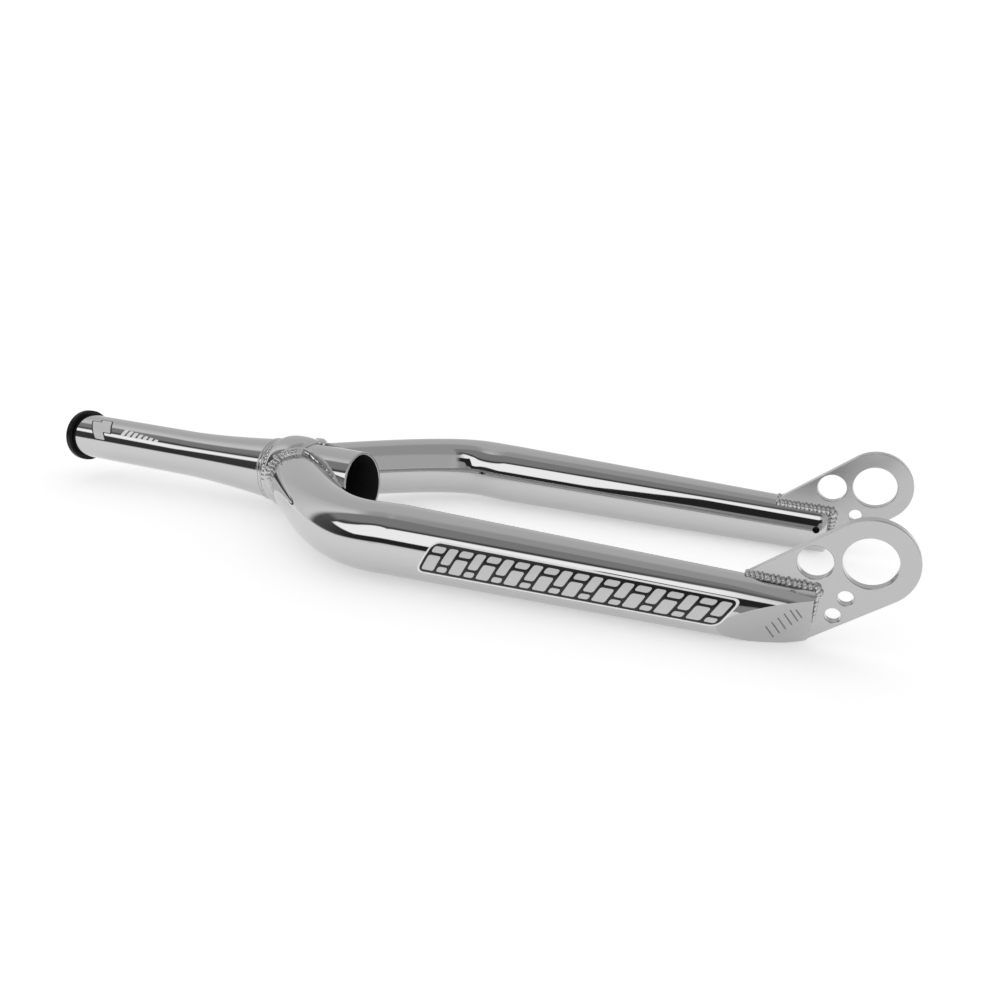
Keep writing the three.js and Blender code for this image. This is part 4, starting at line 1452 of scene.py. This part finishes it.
class FORK_OT_stage(ForkOperator, bpy.types.Operator):
    """Adds the pale floor, the studio light and the camera"""

    bl_idname = "fork.add_stage"
    bl_label = "Floor, Light and Camera"

    def execute(self, context):
        scene = context.scene
        half = 6.0
        mesh = bpy.data.meshes.new("studio_floor")
        corners = [(-half, -half, 0), (half, -half, 0), (half, half, 0), (-half, half, 0)]
        mesh.from_pydata(corners, [], [(0, 1, 2, 3)])
        floor = bpy.data.objects.new("studio_floor", mesh)
        mesh.materials.append(floor_material(scene.fork_finish))
        scene.collection.objects.link(floor)
        scene.world = studio_world()
        lens = bpy.data.cameras.new("studio_camera")
        camera = bpy.data.objects.new("studio_camera", lens)
        lens.lens = 30.212
        lens.clip_start = 0.02  # nearer than any part of the fork in any view
        camera.location = to_row((-0.01455, -0.39802, 0.12095))
        aim = Euler([math.radians(a) for a in (71.6895, -2.2920, 23.8338)])
        camera.rotation_euler = (Matrix(TURN.tolist()) @ aim.to_matrix()).to_euler()
        scene.collection.objects.link(camera)
        scene.camera = camera
        scene.view_settings.view_transform = "Standard"
        return {"FINISHED"}


# ------------------------------------------------------------------ panel and registration

PIECE_OPERATORS = (
    FORK_OT_steerer,
    FORK_OT_race_seat,
    FORK_OT_legs,
    FORK_OT_crown_welds,
    FORK_OT_dropouts,
    FORK_OT_dropout_welds,
    FORK_OT_preload,
    FORK_OT_transfers,
    FORK_OT_stamps,
    FORK_OT_stage,
)


class FORK_PT_panel(bpy.types.Panel):
    """The race fork's pieces, sizes and colours"""

    bl_label = "Race Fork"
    bl_idname = "FORK_PT_panel"
    bl_space_type = "VIEW_3D"
    bl_region_type = "UI"
    bl_category = "Race Fork"

    def draw(self, context):
        layout = self.layout
        for operator in PIECE_OPERATORS:
            layout.operator(operator.bl_idname)
        for group in (context.scene.fork_sizes, context.scene.fork_finish):
            box = layout.box()
            for name in group.__annotations__:
                box.prop(group, name)


CLASSES = (ForkSizes, ForkFinish, *PIECE_OPERATORS, FORK_PT_panel)


def register():
    """Registers the classes and hangs the two groups of properties on the scene."""
    for kind in CLASSES:
        bpy.utils.register_class(kind)
    bpy.types.Scene.fork_sizes = PointerProperty(type=ForkSizes)
    bpy.types.Scene.fork_finish = PointerProperty(type=ForkFinish)


def unregister():
    """Takes away what register() added."""
    del bpy.types.Scene.fork_finish
    del bpy.types.Scene.fork_sizes
    for kind in reversed(CLASSES):
        bpy.utils.unregister_class(kind)


def main():
    """Adds every piece and the stage."""
    register()
    for operator in PIECE_OPERATORS:
        group, name = operator.bl_idname.split(".")
        getattr(getattr(bpy.ops, group), name)()


if __name__ == "__main__":
    main()
